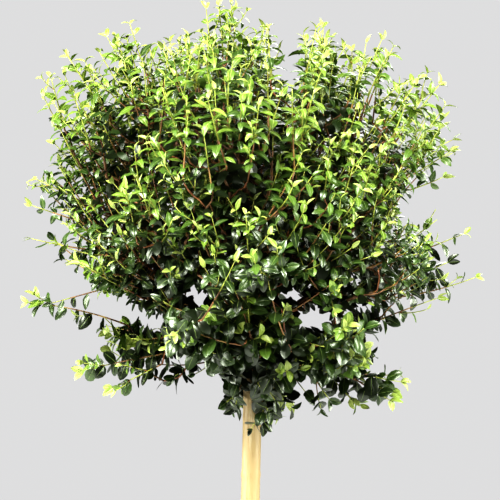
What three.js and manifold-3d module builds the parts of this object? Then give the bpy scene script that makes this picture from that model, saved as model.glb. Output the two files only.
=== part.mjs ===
// A privet grown as a standard: a loose round head of small opposite leaves on one straight
// clear stem, standing in a plain round plastic pot filled with compost.
//
// Units are millimetres, +Z is up, +X is to the right and -Y is the front. The origin is the
// middle of the pot's flat underside, so the plant stands on the plane z = 0.
//
// The head is built of separate leaf masses laid in rings round a bare heart, in which the
// boughs fan out from the top of the stem. Each mass is a lumpy egg shape, cut flat where it
// would meet a neighbour or the heart. Narrow sprays stand out past them where long young
// shoots have outgrown the head.

import * as THREE from "three";
import { mergeVertices } from "three/addons/utils/BufferGeometryUtils.js";
import Module from "manifold-3d";

const wasm = await Module();
wasm.setup();

// ---------------------------------------------------------------- driving dimensions

const POT_HEIGHT = 195;
const POT_RIM_RADIUS = 108;
const POT_FOOT_RADIUS = 82;
const POT_WALL = 2.4;
const POT_FLOOR = 3;
const RIM_BAND_HEIGHT = 22; // the thicker collar round the mouth
const RIM_BAND_STANDS_OUT = 3.5;
const POT_EDGE = 1.5; // bevel of the rim, the band and the foot
const DRAIN_HOLES = 6;
const DRAIN_HOLE_RADIUS = 6;
const DRAIN_CIRCLE_RADIUS = 58;

const SOIL_BELOW_RIM = 17;
const SOIL_CROWN = 4; // how much higher the compost lies at the stem than at the wall
const SOIL_SHOULDER = { out: 0.55, up: 0.7 }; // shares of its radius and its crown
const SOIL_CLEARANCE = 0.65; // to the pot's wall, whose flat sides lie inside its circle

const CLEAR_STEM = 450; // compost to the lowest leaves
const STEM_RADIUS_LOW = 9.4;
const STEM_RADIUS_UNDER_HEAD = 7.8;
const STEM_RADIUS_TIP = 3.6;
const ROOT_FLARE = 6.5; // extra radius at the compost
const ROOT_FLARE_HEIGHT = 34;
const STEM_WANDER = 1.6; // how far the stem strays from a straight line
const STEM_TIP_ABOVE_HEAD_FOOT = 182;

const BOUGH_RADIUS_AT_STEM = 3.7;
const BOUGH_RADIUS_AT_MASS = 2.2;
const BOUGH_BEND = 0.12; // how far a bough strays from straight, as a share of its length
const LOWEST_BOUGH = 26; // above HEAD_FOOT
const HIGHEST_BOUGH = STEM_TIP_ABOVE_HEAD_FOOT - 8;

const TOUCH_GAP = 0.35; // between solids that touch on the plant
const MASS_GAP = 3; // open cleft between neighbouring leaf masses

// The bare heart of the head: a cone with round ends, narrow where the stem comes in. It is
// measured as a row of balls from the lowest to the highest.
const HEART_LOW = { rise: -8, radius: 11.5 };
const HEART_HIGH = { rise: 222, radius: 50 };
const HEART_BALLS = 41;

const POT_SIDES = 40;
const DRAIN_HOLE_SIDES = 12;
const STEM_SIDES = 14;
const STEM_STEPS = 22;
const BOUGH_SIDES = 7;
const BOUGH_STEPS = 5;
const MASS_DETAIL = 2; // times each edge of an icosahedron is split
const SPRAY_DETAIL = 1;

const SOIL_LEVEL = POT_HEIGHT - SOIL_BELOW_RIM;
const STEM_FOOT = SOIL_LEVEL + SOIL_CROWN + TOUCH_GAP;
const HEAD_FOOT = STEM_FOOT + CLEAR_STEM; // height of the lowest leaves

// Rings of leaf masses, from the lowest to the highest. rise is the middle of the ring above
// HEAD_FOOT, ring its radius, shift how far its middle stands to the right of the stem. half
// is half a mass's size away from the stem, round the ring and upwards. boughs is how many of
// its masses have a bough of their own.
const RINGS = [
  { name: "hem", count: 3, rise: 50, ring: 38, shift: 6, turn: 205, half: [36, 40, 32], boughs: 0 },
  { name: "skirt", count: 5, rise: 98, ring: 82, shift: 2, turn: 180, half: [54, 51, 37], boughs: 3 },
  { name: "belt", count: 6, rise: 150, ring: 106, shift: -1, turn: 30, half: [60, 62, 40], boughs: 3 },
  { name: "waist", count: 6, rise: 206, ring: 113, shift: -9, turn: 0, half: [62, 64, 42], boughs: 3 },
  { name: "shoulder", count: 6, rise: 258, ring: 109, shift: -11, turn: 28, half: [61, 64, 44], boughs: 3 },
  { name: "crest", count: 5, rise: 288, ring: 66, shift: -7, turn: 24, half: [58, 58, 44], boughs: 2 },
];

// How much the masses of a ring differ from each other.
const TURN_SPREAD = 0.16; // share of the step from one mass to the next
const REACH_SPREAD = 0.05; // share of the ring's radius
const RISE_SPREAD = 6;
const SIZE_SPREAD = 0.06; // share of each half size

// Swellings and hollows: share of a mass's reach, and how close together they lie.
const MASS_LUMPS = 0.13;
const SPRAY_LUMPS = 0.05;
const LUMP_WAVES = [3.4, 5.3, 7.2];
const LUMP_ROOM = 1.3; // no swelling reaches further than this many times the plain shape

// Sprays of long shoots that stand out of the head. from and to are its two ends: x, y and
// height above HEAD_FOOT.
const SPRAYS = [
  { name: "left", from: [-118, -8, 92], to: [-196, -14, 108], thick: 15 },
  { name: "right", from: [126, -6, 112], to: [201, -12, 129], thick: 15 },
  { name: "low_left", from: [-72, -22, 66], to: [-150, -32, 44], thick: 17 },
  { name: "low_right", from: [58, -18, 54], to: [126, -26, 30], thick: 16 },
  { name: "top", from: [-24, -4, 314], to: [-26, -6, 363], thick: 16 },
  { name: "crest_left", from: [-88, -10, 304], to: [-104, -14, 345], thick: 15 },
  { name: "crest_right", from: [98, 6, 296], to: [116, 8, 334], thick: 15 },
  { name: "front", from: [-44, -112, 96], to: [-62, -174, 86], thick: 17 },
  { name: "back", from: [24, 120, 118], to: [40, 182, 132], thick: 17 },
];

// ---------------------------------------------------------------- colours and materials

const material = (name, color, roughness) =>
  new THREE.MeshStandardMaterial({ name, color, roughness, metalness: 0 });

const POT_PLASTIC = material("pot_plastic", 0x2b2d2e, 0.62);
const COMPOST = material("compost", 0x2e2118, 0.95);
const STEM_BARK = material("stem_bark", 0xc9a76a, 0.6);
const BOUGH_BARK = material("bough_bark", 0x7d5638, 0.7);
const YOUNG_LEAVES = material("young_leaves", 0x9cc43c, 0.45);
const OLD_LEAVES = material("old_leaves", 0x2c4a1e, 0.35);

// ---------------------------------------------------------------- small helpers

const UP = new THREE.Vector3(0, 0, 1);
const AWAY_FROM_SPRAYS = new THREE.Vector3(1, 0.4, 0.2); // a direction that no spray lies along
const degrees = THREE.MathUtils.degToRad;
const { lerp, clamp, smoothstep } = THREE.MathUtils;

// A number from 0 to 1 that looks random and is always the same for the same seed.
function chance(seed) {
  const s = Math.sin(seed * 12.9898 + 4.1) * 43758.5453;
  return s - Math.floor(s);
}

// The same, from -1 to 1.
const sway = (seed) => 2 * chance(seed) - 1;

function solidOf(geometry) {
  const bare = geometry.clone();
  bare.deleteAttribute("normal");
  bare.deleteAttribute("uv");
  const merged = mergeVertices(bare, 1e-3);
  return new wasm.Manifold(
    new wasm.Mesh({
      numProp: 3,
      vertProperties: new Float32Array(merged.attributes.position.array),
      triVerts: new Uint32Array(merged.index.array),
    }),
  );
}

function geometryOf(solid) {
  const mesh = solid.getMesh();
  const places = new Float32Array(mesh.numVert * 3);
  for (let i = 0; i < mesh.numVert; i++) {
    places.set(mesh.vertProperties.subarray(i * mesh.numProp, i * mesh.numProp + 3), i * 3);
  }
  const geometry = new THREE.BufferGeometry();
  geometry.setAttribute("position", new THREE.BufferAttribute(places, 3));
  geometry.setIndex(new THREE.BufferAttribute(mesh.triVerts, 1));
  geometry.computeVertexNormals();
  return geometry;
}

function part(name, geometry, finish) {
  const mesh = new THREE.Mesh(geometry, finish);
  mesh.name = name;
  return mesh;
}

// A turned solid: the profile is a list of [radius, height].
function turned(profile, sides) {
  const points = profile.map(([radius, height]) => new THREE.Vector2(radius, height));
  return new THREE.LatheGeometry(points, sides).rotateX(Math.PI / 2);
}

// A limb: a cylinder bent along a curve, with a radius that changes along it.
function limb(curve, radiusAt, sides, steps) {
  const geometry = new THREE.CylinderGeometry(1, 1, 1, sides, steps);
  const frames = curve.computeFrenetFrames(steps);
  const places = geometry.getAttribute("position");
  for (let i = 0; i < places.count; i++) {
    const along = clamp(places.getY(i) + 0.5, 0, 1);
    const step = Math.round(along * steps);
    const radius = radiusAt(along);
    // The cylinder's own x, y, z turn right-handed into binormal, tangent, normal.
    const place = curve.getPointAt(along);
    place.addScaledVector(frames.binormals[step], places.getX(i) * radius);
    place.addScaledVector(frames.normals[step], places.getZ(i) * radius);
    places.setXYZ(i, place.x, place.y, place.z);
  }
  return geometry;
}

// ---------------------------------------------------------------- pot and compost

// Radius of the pot's outer face at a height, below the rim band.
const potRadius = (height) => lerp(POT_FOOT_RADIUS, POT_RIM_RADIUS, height / POT_HEIGHT);

function makePot() {
  const bandFoot = POT_HEIGHT - RIM_BAND_HEIGHT;
  const bandOut = RIM_BAND_STANDS_OUT;
  let pot = solidOf(
    turned(
      [
        [0, 0],
        [POT_FOOT_RADIUS - POT_EDGE, 0],
        [potRadius(POT_EDGE), POT_EDGE],
        [potRadius(bandFoot), bandFoot],
        [potRadius(bandFoot) + bandOut, bandFoot + POT_EDGE],
        [POT_RIM_RADIUS + bandOut, POT_HEIGHT - POT_EDGE],
        [POT_RIM_RADIUS + bandOut - POT_EDGE, POT_HEIGHT],
        [POT_RIM_RADIUS - POT_WALL, POT_HEIGHT],
        [potRadius(POT_FLOOR) - POT_WALL, POT_FLOOR],
        [0, POT_FLOOR],
      ],
      POT_SIDES,
    ),
  );
  for (let i = 0; i < DRAIN_HOLES; i++) {
    const angle = degrees((360 / DRAIN_HOLES) * i);
    const hole = new THREE.CylinderGeometry(
      DRAIN_HOLE_RADIUS,
      DRAIN_HOLE_RADIUS,
      4 * POT_FLOOR,
      DRAIN_HOLE_SIDES,
    );
    hole.rotateX(Math.PI / 2);
    hole.translate(Math.cos(angle) * DRAIN_CIRCLE_RADIUS, Math.sin(angle) * DRAIN_CIRCLE_RADIUS, 0);
    pot = pot.subtract(solidOf(hole));
  }
  return part("pot", geometryOf(pot), POT_PLASTIC);
}

function makeSoil() {
  const foot = POT_FLOOR + TOUCH_GAP;
  const inside = (height) => potRadius(height) - POT_WALL - SOIL_CLEARANCE;
  const top = inside(SOIL_LEVEL);
  const profile = [
    [0, foot],
    [inside(foot), foot],
    [top, SOIL_LEVEL],
    [SOIL_SHOULDER.out * top, SOIL_LEVEL + SOIL_SHOULDER.up * SOIL_CROWN],
    [0, SOIL_LEVEL + SOIL_CROWN],
  ];
  return part("soil", turned(profile, POT_SIDES), COMPOST);
}

// ---------------------------------------------------------------- stem

const STEM_TIP = HEAD_FOOT + STEM_TIP_ABOVE_HEAD_FOOT;

const STEM_CURVE = new THREE.CatmullRomCurve3(
  [0, 0.1, 0.3, 0.5, 0.72, 0.86, 1].map((share, i) => {
    const stray = i < 2 ? 0 : STEM_WANDER; // straight up out of the compost
    const height = lerp(STEM_FOOT, STEM_TIP, share);
    return new THREE.Vector3(stray * sway(i + 3), stray * sway(i + 11), height);
  }),
);

// Radius of the stem at a share of its length, from the compost to the tip.
function stemRadius(share) {
  const height = share * (STEM_TIP - STEM_FOOT);
  const flare = ROOT_FLARE * (1 - smoothstep(height, 0, ROOT_FLARE_HEIGHT)) ** 2;
  const clear = lerp(STEM_RADIUS_LOW, STEM_RADIUS_UNDER_HEAD, clamp(height / CLEAR_STEM, 0, 1));
  const inHead = clamp((height - CLEAR_STEM) / STEM_TIP_ABOVE_HEAD_FOOT, 0, 1);
  return flare + lerp(clear, STEM_RADIUS_TIP, inHead);
}

const stemGeometry = limb(STEM_CURVE, stemRadius, STEM_SIDES, STEM_STEPS);
const stemAndGap = solidOf(
  limb(STEM_CURVE, (share) => stemRadius(share) + TOUCH_GAP, STEM_SIDES, STEM_STEPS),
);

// ---------------------------------------------------------------- leaf masses

// The ball of the heart that lies nearest to a place: its middle, its radius and the
// direction from it to the place.
function nearestHeart(place) {
  let nearest = null;
  for (let i = 0; i < HEART_BALLS; i++) {
    const share = i / (HEART_BALLS - 1);
    const rise = lerp(HEART_LOW.rise, HEART_HIGH.rise, share);
    const middle = new THREE.Vector3(0, 0, HEAD_FOOT + rise);
    const radius = lerp(HEART_LOW.radius, HEART_HIGH.radius, share);
    const away = middle.distanceTo(place) - radius;
    if (!nearest || away < nearest.away) nearest = { middle, radius, away };
  }
  nearest.outward = place.clone().sub(nearest.middle).normalize();
  return nearest;
}

// Whether the i-th mass of a ring has a bough of its own: they are spread evenly round it.
function hasBough(ring, i) {
  const boughsUpTo = (mass) => Math.floor((mass * ring.boughs) / ring.count);
  return boughsUpTo(i) !== boughsUpTo(i - 1);
}

// An egg: its middle, its three half sizes and the directions that they lie along.
function ringEggs() {
  const eggs = [];
  RINGS.forEach((ring, r) => {
    for (let i = 0; i < ring.count; i++) {
      const seed = 17 * r + 5 * i + 1;
      const angle = degrees(ring.turn + (360 / ring.count) * (i + TURN_SPREAD * sway(seed)));
      const reach = ring.ring * (1 + REACH_SPREAD * sway(seed + 1));
      const outward = new THREE.Vector3(Math.cos(angle), Math.sin(angle), 0);
      const middle = outward.clone().multiplyScalar(reach);
      middle.x += ring.shift;
      middle.z = HEAD_FOOT + ring.rise + RISE_SPREAD * sway(seed + 2);
      eggs.push({
        name: `foliage_${ring.name}_${i + 1}`,
        seed,
        middle,
        axes: [outward, new THREE.Vector3().crossVectors(UP, outward), UP],
        half: ring.half.map((size, k) => size * (1 + SIZE_SPREAD * sway(seed + 3 + k))),
        lumps: MASS_LUMPS,
        detail: MASS_DETAIL,
        bough: hasBough(ring, i),
        finish: ring.name === "crest" || ring.name === "shoulder" ? YOUNG_LEAVES : OLD_LEAVES,
      });
    }
  });
  return eggs;
}

function sprayEggs() {
  return SPRAYS.map((spray, i) => {
    const from = new THREE.Vector3(...spray.from);
    const to = new THREE.Vector3(...spray.to);
    const along = to.clone().sub(from).normalize();
    const across = new THREE.Vector3().crossVectors(along, AWAY_FROM_SPRAYS).normalize();
    const middle = from.clone().lerp(to, 0.5);
    middle.z += HEAD_FOOT;
    return {
      name: `spray_${spray.name}`,
      seed: 301 + 7 * i,
      middle,
      axes: [along, across, new THREE.Vector3().crossVectors(along, across)],
      half: [from.distanceTo(to) / 2, spray.thick, spray.thick],
      lumps: SPRAY_LUMPS,
      detail: SPRAY_DETAIL,
      bough: false,
      finish: YOUNG_LEAVES,
    };
  });
}

// How far the plain egg reaches from its middle in a direction.
function eggReach(egg, direction) {
  const inverse = egg.axes.reduce((sum, axis, k) => sum + (direction.dot(axis) / egg.half[k]) ** 2, 0);
  return 1 / Math.sqrt(inverse);
}

// Swellings and hollows of the egg's surface: waves in directions of its own, each weaker than
// the one before.
function lumpiness(egg, direction) {
  let sum = 0;
  LUMP_WAVES.forEach((closeness, k) => {
    const wave = new THREE.Vector3(sway(egg.seed + k), sway(egg.seed + k + 20), sway(egg.seed + k + 40));
    const phase = 2 * Math.PI * chance(egg.seed + k + 60);
    sum += Math.sin(direction.dot(wave.normalize()) * closeness + phase) / (k + 1);
  });
  return 1 + egg.lumps * sum;
}

// The flat cuts that keep an egg clear of its neighbours and of the heart. Each is a direction
// and how far the egg may reach along it from its middle.
function cutsOf(egg, eggs) {
  const cuts = [];
  for (const other of eggs) {
    if (other === egg) continue;
    const towards = other.middle.clone().sub(egg.middle);
    const distance = towards.length();
    towards.normalize();
    const mine = eggReach(egg, towards);
    const theirs = eggReach(other, towards.clone().negate());
    const furthest = Math.max(...egg.half) + Math.max(...other.half);
    if (distance < furthest * LUMP_ROOM) {
      cuts.push({ towards, reach: (distance * mine) / (mine + theirs) - MASS_GAP / 2 });
    }
  }
  const heart = nearestHeart(egg.middle);
  cuts.push({ towards: heart.outward.clone().negate(), reach: heart.away - TOUCH_GAP });
  return cuts;
}

function makeMass(egg, eggs) {
  const geometry = new THREE.IcosahedronGeometry(1, egg.detail);
  const cuts = cutsOf(egg, eggs);
  const places = geometry.getAttribute("position");
  const direction = new THREE.Vector3();
  for (let i = 0; i < places.count; i++) {
    direction.fromBufferAttribute(places, i).normalize();
    let reach = eggReach(egg, direction) * lumpiness(egg, direction);
    for (const cut of cuts) {
      const facing = direction.dot(cut.towards);
      if (facing > 1e-6) reach = Math.min(reach, cut.reach / facing);
    }
    places.setXYZ(i, direction.x * reach, direction.y * reach, direction.z * reach);
  }
  const mass = part(egg.name, geometry, egg.finish);
  mass.position.copy(egg.middle);
  return mass;
}

// ---------------------------------------------------------------- boughs

// One tapering limb from inside the stem to the flat inner face of a mass, rising on its way.
// share is 0 for the lowest bough and 1 for the highest.
function makeBough(name, egg, share) {
  const height = HEAD_FOOT + lerp(LOWEST_BOUGH, HIGHEST_BOUGH, share);
  const start = STEM_CURVE.getPointAt((height - STEM_FOOT) / (STEM_TIP - STEM_FOOT));
  const heart = nearestHeart(egg.middle);
  const end = heart.middle
    .clone()
    .addScaledVector(heart.outward, heart.radius - BOUGH_RADIUS_AT_MASS - TOUCH_GAP);
  const bend = start.clone().lerp(end, 0.5);
  bend.addScaledVector(heart.outward, BOUGH_BEND * start.distanceTo(end));
  const curve = new THREE.QuadraticBezierCurve3(start, bend, end);
  const taper = (along) => lerp(BOUGH_RADIUS_AT_STEM, BOUGH_RADIUS_AT_MASS, along);
  const whole = solidOf(limb(curve, taper, BOUGH_SIDES, BOUGH_STEPS));
  return part(name, geometryOf(whole.subtract(stemAndGap)), BOUGH_BARK);
}

// ---------------------------------------------------------------- the plant

const eggs = [...ringEggs(), ...sprayEggs()];
const plant = new THREE.Group();
plant.name = "potted_standard";
plant.add(makePot());
plant.add(makeSoil());
plant.add(part("trunk", stemGeometry, STEM_BARK));

// The lowest masses are joined to the lowest boughs.
const heightOf = (egg) => egg.middle.z + nearestHeart(egg.middle).middle.z;
const boughEggs = eggs.filter((egg) => egg.bough).sort((a, b) => heightOf(a) - heightOf(b));
boughEggs.forEach((egg, i) => {
  plant.add(makeBough(`bough_${i + 1}`, egg, i / (boughEggs.length - 1)));
});
for (const egg of eggs) plant.add(makeMass(egg, eggs));

export default plant;
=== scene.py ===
# A small-leaved privet grown as a standard: a loose round head of small opposite leaves on one
# straight clear stem, standing in a plain plastic nursery pot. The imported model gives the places
# and sizes: its stem, boughs and pot are made again here with their surface, and each of its
# leaf masses is grown as twigs, leafy shoots and leaves that fill the same space.

import math

import bpy
import numpy as np
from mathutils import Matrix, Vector
from mathutils.bvhtree import BVHTree


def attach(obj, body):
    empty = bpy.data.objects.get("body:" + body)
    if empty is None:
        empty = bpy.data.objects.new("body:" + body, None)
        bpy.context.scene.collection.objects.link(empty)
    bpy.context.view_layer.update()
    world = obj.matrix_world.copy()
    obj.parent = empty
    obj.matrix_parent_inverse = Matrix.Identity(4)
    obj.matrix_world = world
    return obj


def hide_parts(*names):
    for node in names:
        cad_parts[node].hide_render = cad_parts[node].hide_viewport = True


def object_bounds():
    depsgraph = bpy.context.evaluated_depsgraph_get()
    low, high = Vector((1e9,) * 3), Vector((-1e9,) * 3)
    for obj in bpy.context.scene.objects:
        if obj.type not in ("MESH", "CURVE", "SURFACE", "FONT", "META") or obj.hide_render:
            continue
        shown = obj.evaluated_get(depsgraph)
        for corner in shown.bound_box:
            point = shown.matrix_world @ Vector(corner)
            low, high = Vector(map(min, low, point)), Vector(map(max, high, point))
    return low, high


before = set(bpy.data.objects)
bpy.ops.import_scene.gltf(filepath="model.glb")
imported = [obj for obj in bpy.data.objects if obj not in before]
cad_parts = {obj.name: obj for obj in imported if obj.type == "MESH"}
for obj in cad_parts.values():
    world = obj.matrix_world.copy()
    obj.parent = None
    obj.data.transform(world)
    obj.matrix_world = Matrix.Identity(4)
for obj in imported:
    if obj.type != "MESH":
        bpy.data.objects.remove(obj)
cad_low, cad_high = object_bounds()

# ------------------------------------------------------------------ studio
# A pale floor and soft light from above and from both sides, which leaves the inside of the
# head dark. The plant is seen level from the front, near enough to show the head and the top
# of the clear stem.

VIEW_DISTANCE = 2.2
VIEW_BELOW_TOP = 0.211
VIEW_WIDTH = 0.425  # how much is seen from side to side, at the stem
HEAD_BELOW_TOP = 0.18  # the middle of the head, which the lamps face
LAMPS = (  # name, place, width and height, watts
    ("light_above", (-0.45, -1.5, 2.0), (0.8, 0.8), 94),
    ("light_left", (-1.7, -0.4, 1.2), (0.5, 1.3), 54),
    ("light_right", (1.7, -0.35, 1.2), (0.5, 1.3), 53),
    ("light_behind", (0.45, 1.6, 1.75), (1.2, 1.0), 28),
)
BACKGROUND = (0.538, 0.538, 0.541, 1.0)
FILL_COLOUR = (1.0, 1.0, 0.96, 1.0)
FILL_LIGHT = 0.045  # how bright the room is for the plant, beside the lamps
FLOOR_RADIUS = 5.6
SHADOW_SHARE = 0.05  # how much of the lamps' light the floor shows, as a soft shadow needs
LAMPLIT_SHARE = 0.24  # of the floor's brightness under the plant comes from the lamps
LAMPS_REACH = 3.4  # how far from the plant the lamps still light the floor


def linear(red, green, blue):
    """The shader's colour for the three numbers from 0 to 255 that a screen shows it by."""
    shares = np.array((red, green, blue)) / 255
    lit = np.where(shares <= 0.04045, shares / 12.92, ((shares + 0.055) / 1.055) ** 2.4)
    return (*(float(share) for share in lit), 1.0)


def shader_of(name, colour, roughness, **sockets):
    """A new material and its Principled shader, with plain values on the shader's sockets."""
    material = bpy.data.materials.new(name)
    material.use_nodes = True
    shader = material.node_tree.nodes["Principled BSDF"]
    shader.inputs["Base Color"].default_value = colour
    shader.inputs["Roughness"].default_value = roughness
    for socket, value in sockets.items():
        shader.inputs[socket.replace("_", " ")].default_value = value
    return material, shader


def put_in_scene(name, data):
    thing = bpy.data.objects.new(name, data)
    bpy.context.scene.collection.objects.link(thing)
    return thing


def add_node(owner, kind, **values):
    """A node of a material or a world, with values for its sockets or settings."""
    made = owner.node_tree.nodes.new(kind)
    for name, value in values.items():
        socket = name.replace("_", " ")
        if socket in made.inputs:
            made.inputs[socket].default_value = value
        else:
            setattr(made, name, value)
    return made


def join(owner, source, output, target, socket):
    owner.node_tree.links.new(source.outputs[output], target.inputs[socket])


def show_camera(owner, seen, otherwise, surface):
    """The camera sees the first shader, and light from elsewhere meets the second."""
    ray = add_node(owner, "ShaderNodeLightPath")
    either = add_node(owner, "ShaderNodeMixShader")
    join(owner, ray, "Is Camera Ray", either, 0)
    join(owner, otherwise, 0, either, 1)
    join(owner, seen, 0, either, 2)
    join(owner, either, 0, owner.node_tree.nodes[surface], "Surface")


lens = bpy.data.cameras.new("camera")
lens.sensor_width = 36
lens.lens = lens.sensor_width * VIEW_DISTANCE / VIEW_WIDTH
camera = put_in_scene("camera", lens)
camera.location = (0, -VIEW_DISTANCE, cad_high.z - VIEW_BELOW_TOP)
camera.rotation_euler = (math.radians(90), 0, 0)
bpy.context.scene.camera = camera

for name, place, (width, height), watts in LAMPS:
    light = bpy.data.lights.new(name, "AREA")
    light.shape = "RECTANGLE"
    light.size = width
    light.size_y = height
    light.energy = watts
    lamp = put_in_scene(name, light)
    lamp.location = place
    facing = Vector((0, 0, cad_high.z - HEAD_BELOW_TOP)) - Vector(place)
    lamp.rotation_euler = facing.to_track_quat("-Z", "Y").to_euler()

world = bpy.data.worlds.new("studio")
world.use_nodes = True
backdrop = world.node_tree.nodes["Background"]
backdrop.inputs["Color"].default_value = BACKGROUND
fill = add_node(world, "ShaderNodeBackground", Color=FILL_COLOUR, Strength=FILL_LIGHT)
show_camera(world, backdrop, fill, "World Output")
bpy.context.scene.world = world
bpy.context.scene.view_settings.view_transform = "Standard"
bpy.context.scene.view_settings.look = "High Contrast"

angles = np.linspace(0, 2 * math.pi, 96, endpoint=False)
rim = np.column_stack((FLOOR_RADIUS * np.cos(angles), FLOOR_RADIUS * np.sin(angles), 0 * angles))
floor_mesh = bpy.data.meshes.new("floor")
floor_mesh.from_pydata(rim.tolist(), [], [list(range(len(rim)))])
floor = put_in_scene("floor", floor_mesh)
paint, lit_paint = shader_of("floor_paint", linear(214, 214, 214), 0.8)
even = add_node(paint, "ShaderNodeEmission", Color=BACKGROUND)
shaded = add_node(paint, "ShaderNodeBsdfDiffuse", Color=(*(SHADOW_SHARE,) * 3, 1.0))
both = add_node(paint, "ShaderNodeAddShader")
place = add_node(paint, "ShaderNodeTexCoord")
away = add_node(paint, "ShaderNodeVectorMath", operation="LENGTH")
fade = add_node(paint, "ShaderNodeMapRange", From_Max=LAMPS_REACH, To_Min=1 - LAMPLIT_SHARE)
fade.interpolation_type = "SMOOTHSTEP"
join(paint, place, "Object", away, 0)
join(paint, away, "Value", fade, "Value")
join(paint, fade, "Result", even, "Strength")
join(paint, even, 0, both, 0)
join(paint, shaded, 0, both, 1)
show_camera(paint, both, lit_paint, "Material Output")
floor_mesh.materials.append(paint)

# ------------------------------------------------------------------ stem
# The clear stem is one straight shoot, three or four years old, kept bare by rubbing off its
# side shoots. Its bark is thin, smooth and straw-coloured, with fine long wrinkles, raised
# pores and the paired scars of the leaves and shoots that were taken off.

MM = 0.001
STEM_SIDES = 64
STEM_STEP = 1.35 * MM
STEM_INTO_COMPOST = 9 * MM
STEM_RING_GAP = 5 * MM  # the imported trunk's rings of points stand further apart than this
STEM_WRINKLES = (  # depth, rings of points to a wrinkle, wrinkles round the stem
    (0.14 * MM, 26, 22),
    (0.084 * MM, 9, 31),
    (0.224 * MM, 40, 4),
)
STEM_PORES = 190
STEM_PORE_HEIGHT = 0.45 * MM
STEM_PORE_WIDTH = (0.5 * MM, 1.1 * MM)
STEM_PORE_RISE = (0.12 * MM, 0.3 * MM)
STEM_SCAR_STEP = 43 * MM
STEM_SCAR_WANDER = 7 * MM
STEM_SCAR_RIM = (2.4 * MM, 2.7 * MM, 0.75 * MM)  # half height, half width, how far it rises
STEM_SCAR_PIT = (1.2 * MM, 1.4 * MM, 0.8 * MM)  # half height, half width, how deep it sinks
STEM_JOINT_HEIGHT = 3.2 * MM  # of the swollen ring that bears a pair of scars
STEM_JOINT_RISE = 0.28 * MM
ROOT_LOBES = 5
ROOT_LOBE_DEPTH = 1.3 * MM
ROOT_FLARE_HEIGHT = 30 * MM
STRAW, CREAM, TAN = linear(160, 141, 97), linear(185, 172, 137), linear(133, 107, 69)


def node_shape(name):
    """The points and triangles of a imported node."""
    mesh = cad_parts[name].data
    mesh.calc_loop_triangles()
    points = np.empty(3 * len(mesh.vertices), np.float32)
    mesh.vertices.foreach_get("co", points)
    triangles = np.empty(3 * len(mesh.loop_triangles), np.int32)
    mesh.loop_triangles.foreach_get("vertices", triangles)
    return points.reshape(-1, 3).astype(float), triangles.reshape(-1, 3)


def unit(vectors):
    return vectors / np.maximum(np.linalg.norm(vectors, axis=-1, keepdims=True), 1e-9)


def piece_of(name, points, faces, material, smooth=True):
    """A mesh piece from arrays: all its faces have the same number of corners."""
    mesh = bpy.data.meshes.new(name)
    count, corners = faces.shape
    mesh.vertices.add(len(points))
    mesh.vertices.foreach_set("co", np.asarray(points, np.float32).ravel())
    mesh.loops.add(count * corners)
    mesh.loops.foreach_set("vertex_index", np.asarray(faces, np.int32).ravel())
    mesh.polygons.add(count)
    mesh.polygons.foreach_set("loop_start", np.arange(count, dtype=np.int32) * corners)
    mesh.polygons.foreach_set("use_smooth", np.full(count, smooth))
    mesh.update(calc_edges=True)
    mesh.materials.append(material)
    return put_in_scene(name, mesh)


def joined(parts):
    """Several (points, triangles) as one."""
    counts = np.cumsum([0] + [len(points) for points, _ in parts])
    points = np.concatenate([points for points, _ in parts])
    return points, np.concatenate([faces + n for (_, faces), n in zip(parts, counts)])


def hand_over(piece, nodes):
    """The piece rides with the plant and stands for CAD nodes, which it hides."""
    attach(piece, "root")
    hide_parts(*nodes)


def rings_round(line, radii, sides):
    """Rings of points round a line, turned as little as the line allows: steps x sides x 3.
    radii holds one number for each step, or one for each step and side."""
    along = unit(np.gradient(line, axis=0))
    across = np.empty_like(line)
    aside = np.array((0.0, -1.0, 0.0)) if abs(along[0][1]) < 0.9 else np.array((1.0, 0.0, 0.0))
    for i, direction in enumerate(along):
        aside = unit(aside - direction * (aside @ direction))
        across[i] = aside
    other = np.cross(along, across)
    turn = np.linspace(0, 2 * math.pi, sides, endpoint=False)
    radii = np.asarray(radii).reshape(len(line), -1, 1)
    round_it = (
        np.cos(turn)[None, :, None] * across[:, None] + np.sin(turn)[None, :, None] * other[:, None]
    )
    return line[:, None] + radii * round_it


def tube_triangles(steps, sides):
    """Triangles of a tube whose rings are numbered one after another, with both ends closed by
    a point of their own that follows the last ring: first the start's, then the end's."""
    ring = np.arange(sides)
    after = (ring + 1) % sides
    starts = np.arange(steps - 1)[:, None] * sides
    a, b = starts + ring, starts + after
    c, d = a + sides, b + sides
    wall = np.stack((a, b, d, a, d, c), axis=-1).reshape(-1, 3)
    centre = steps * sides
    last = (steps - 1) * sides
    foot = np.column_stack((np.full(sides, centre), after, ring))
    tip = np.column_stack((np.full(sides, centre + 1), last + ring, last + after))
    return np.concatenate((wall, foot, tip))


def closed_tube(line, radii, sides):
    """Points and triangles of a closed tube along a line."""
    rings = rings_round(line, radii, sides)
    points = np.concatenate((rings.reshape(-1, 3), line[:1], line[-1:]))
    return points, tube_triangles(len(line), sides)


def smooth_noise(chance, rows, columns, row_cells, column_cells):
    """A soft random field from -1 to 1 whose columns close on themselves."""
    grid = chance.uniform(-1, 1, (row_cells + 2, column_cells))
    v = np.linspace(0, row_cells, rows)[:, None]
    u = np.arange(columns)[None, :] * column_cells / columns
    i, j = np.minimum(v.astype(int), row_cells), u.astype(int)
    fv, fu = v - i, u - j
    fv, fu = fv * fv * (3 - 2 * fv), fu * fu * (3 - 2 * fu)
    near = grid[i, j % column_cells] * (1 - fu) + grid[i, (j + 1) % column_cells] * fu
    far = grid[i + 1, j % column_cells] * (1 - fu) + grid[i + 1, (j + 1) % column_cells] * fu
    return near * (1 - fv) + far * fv


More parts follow.
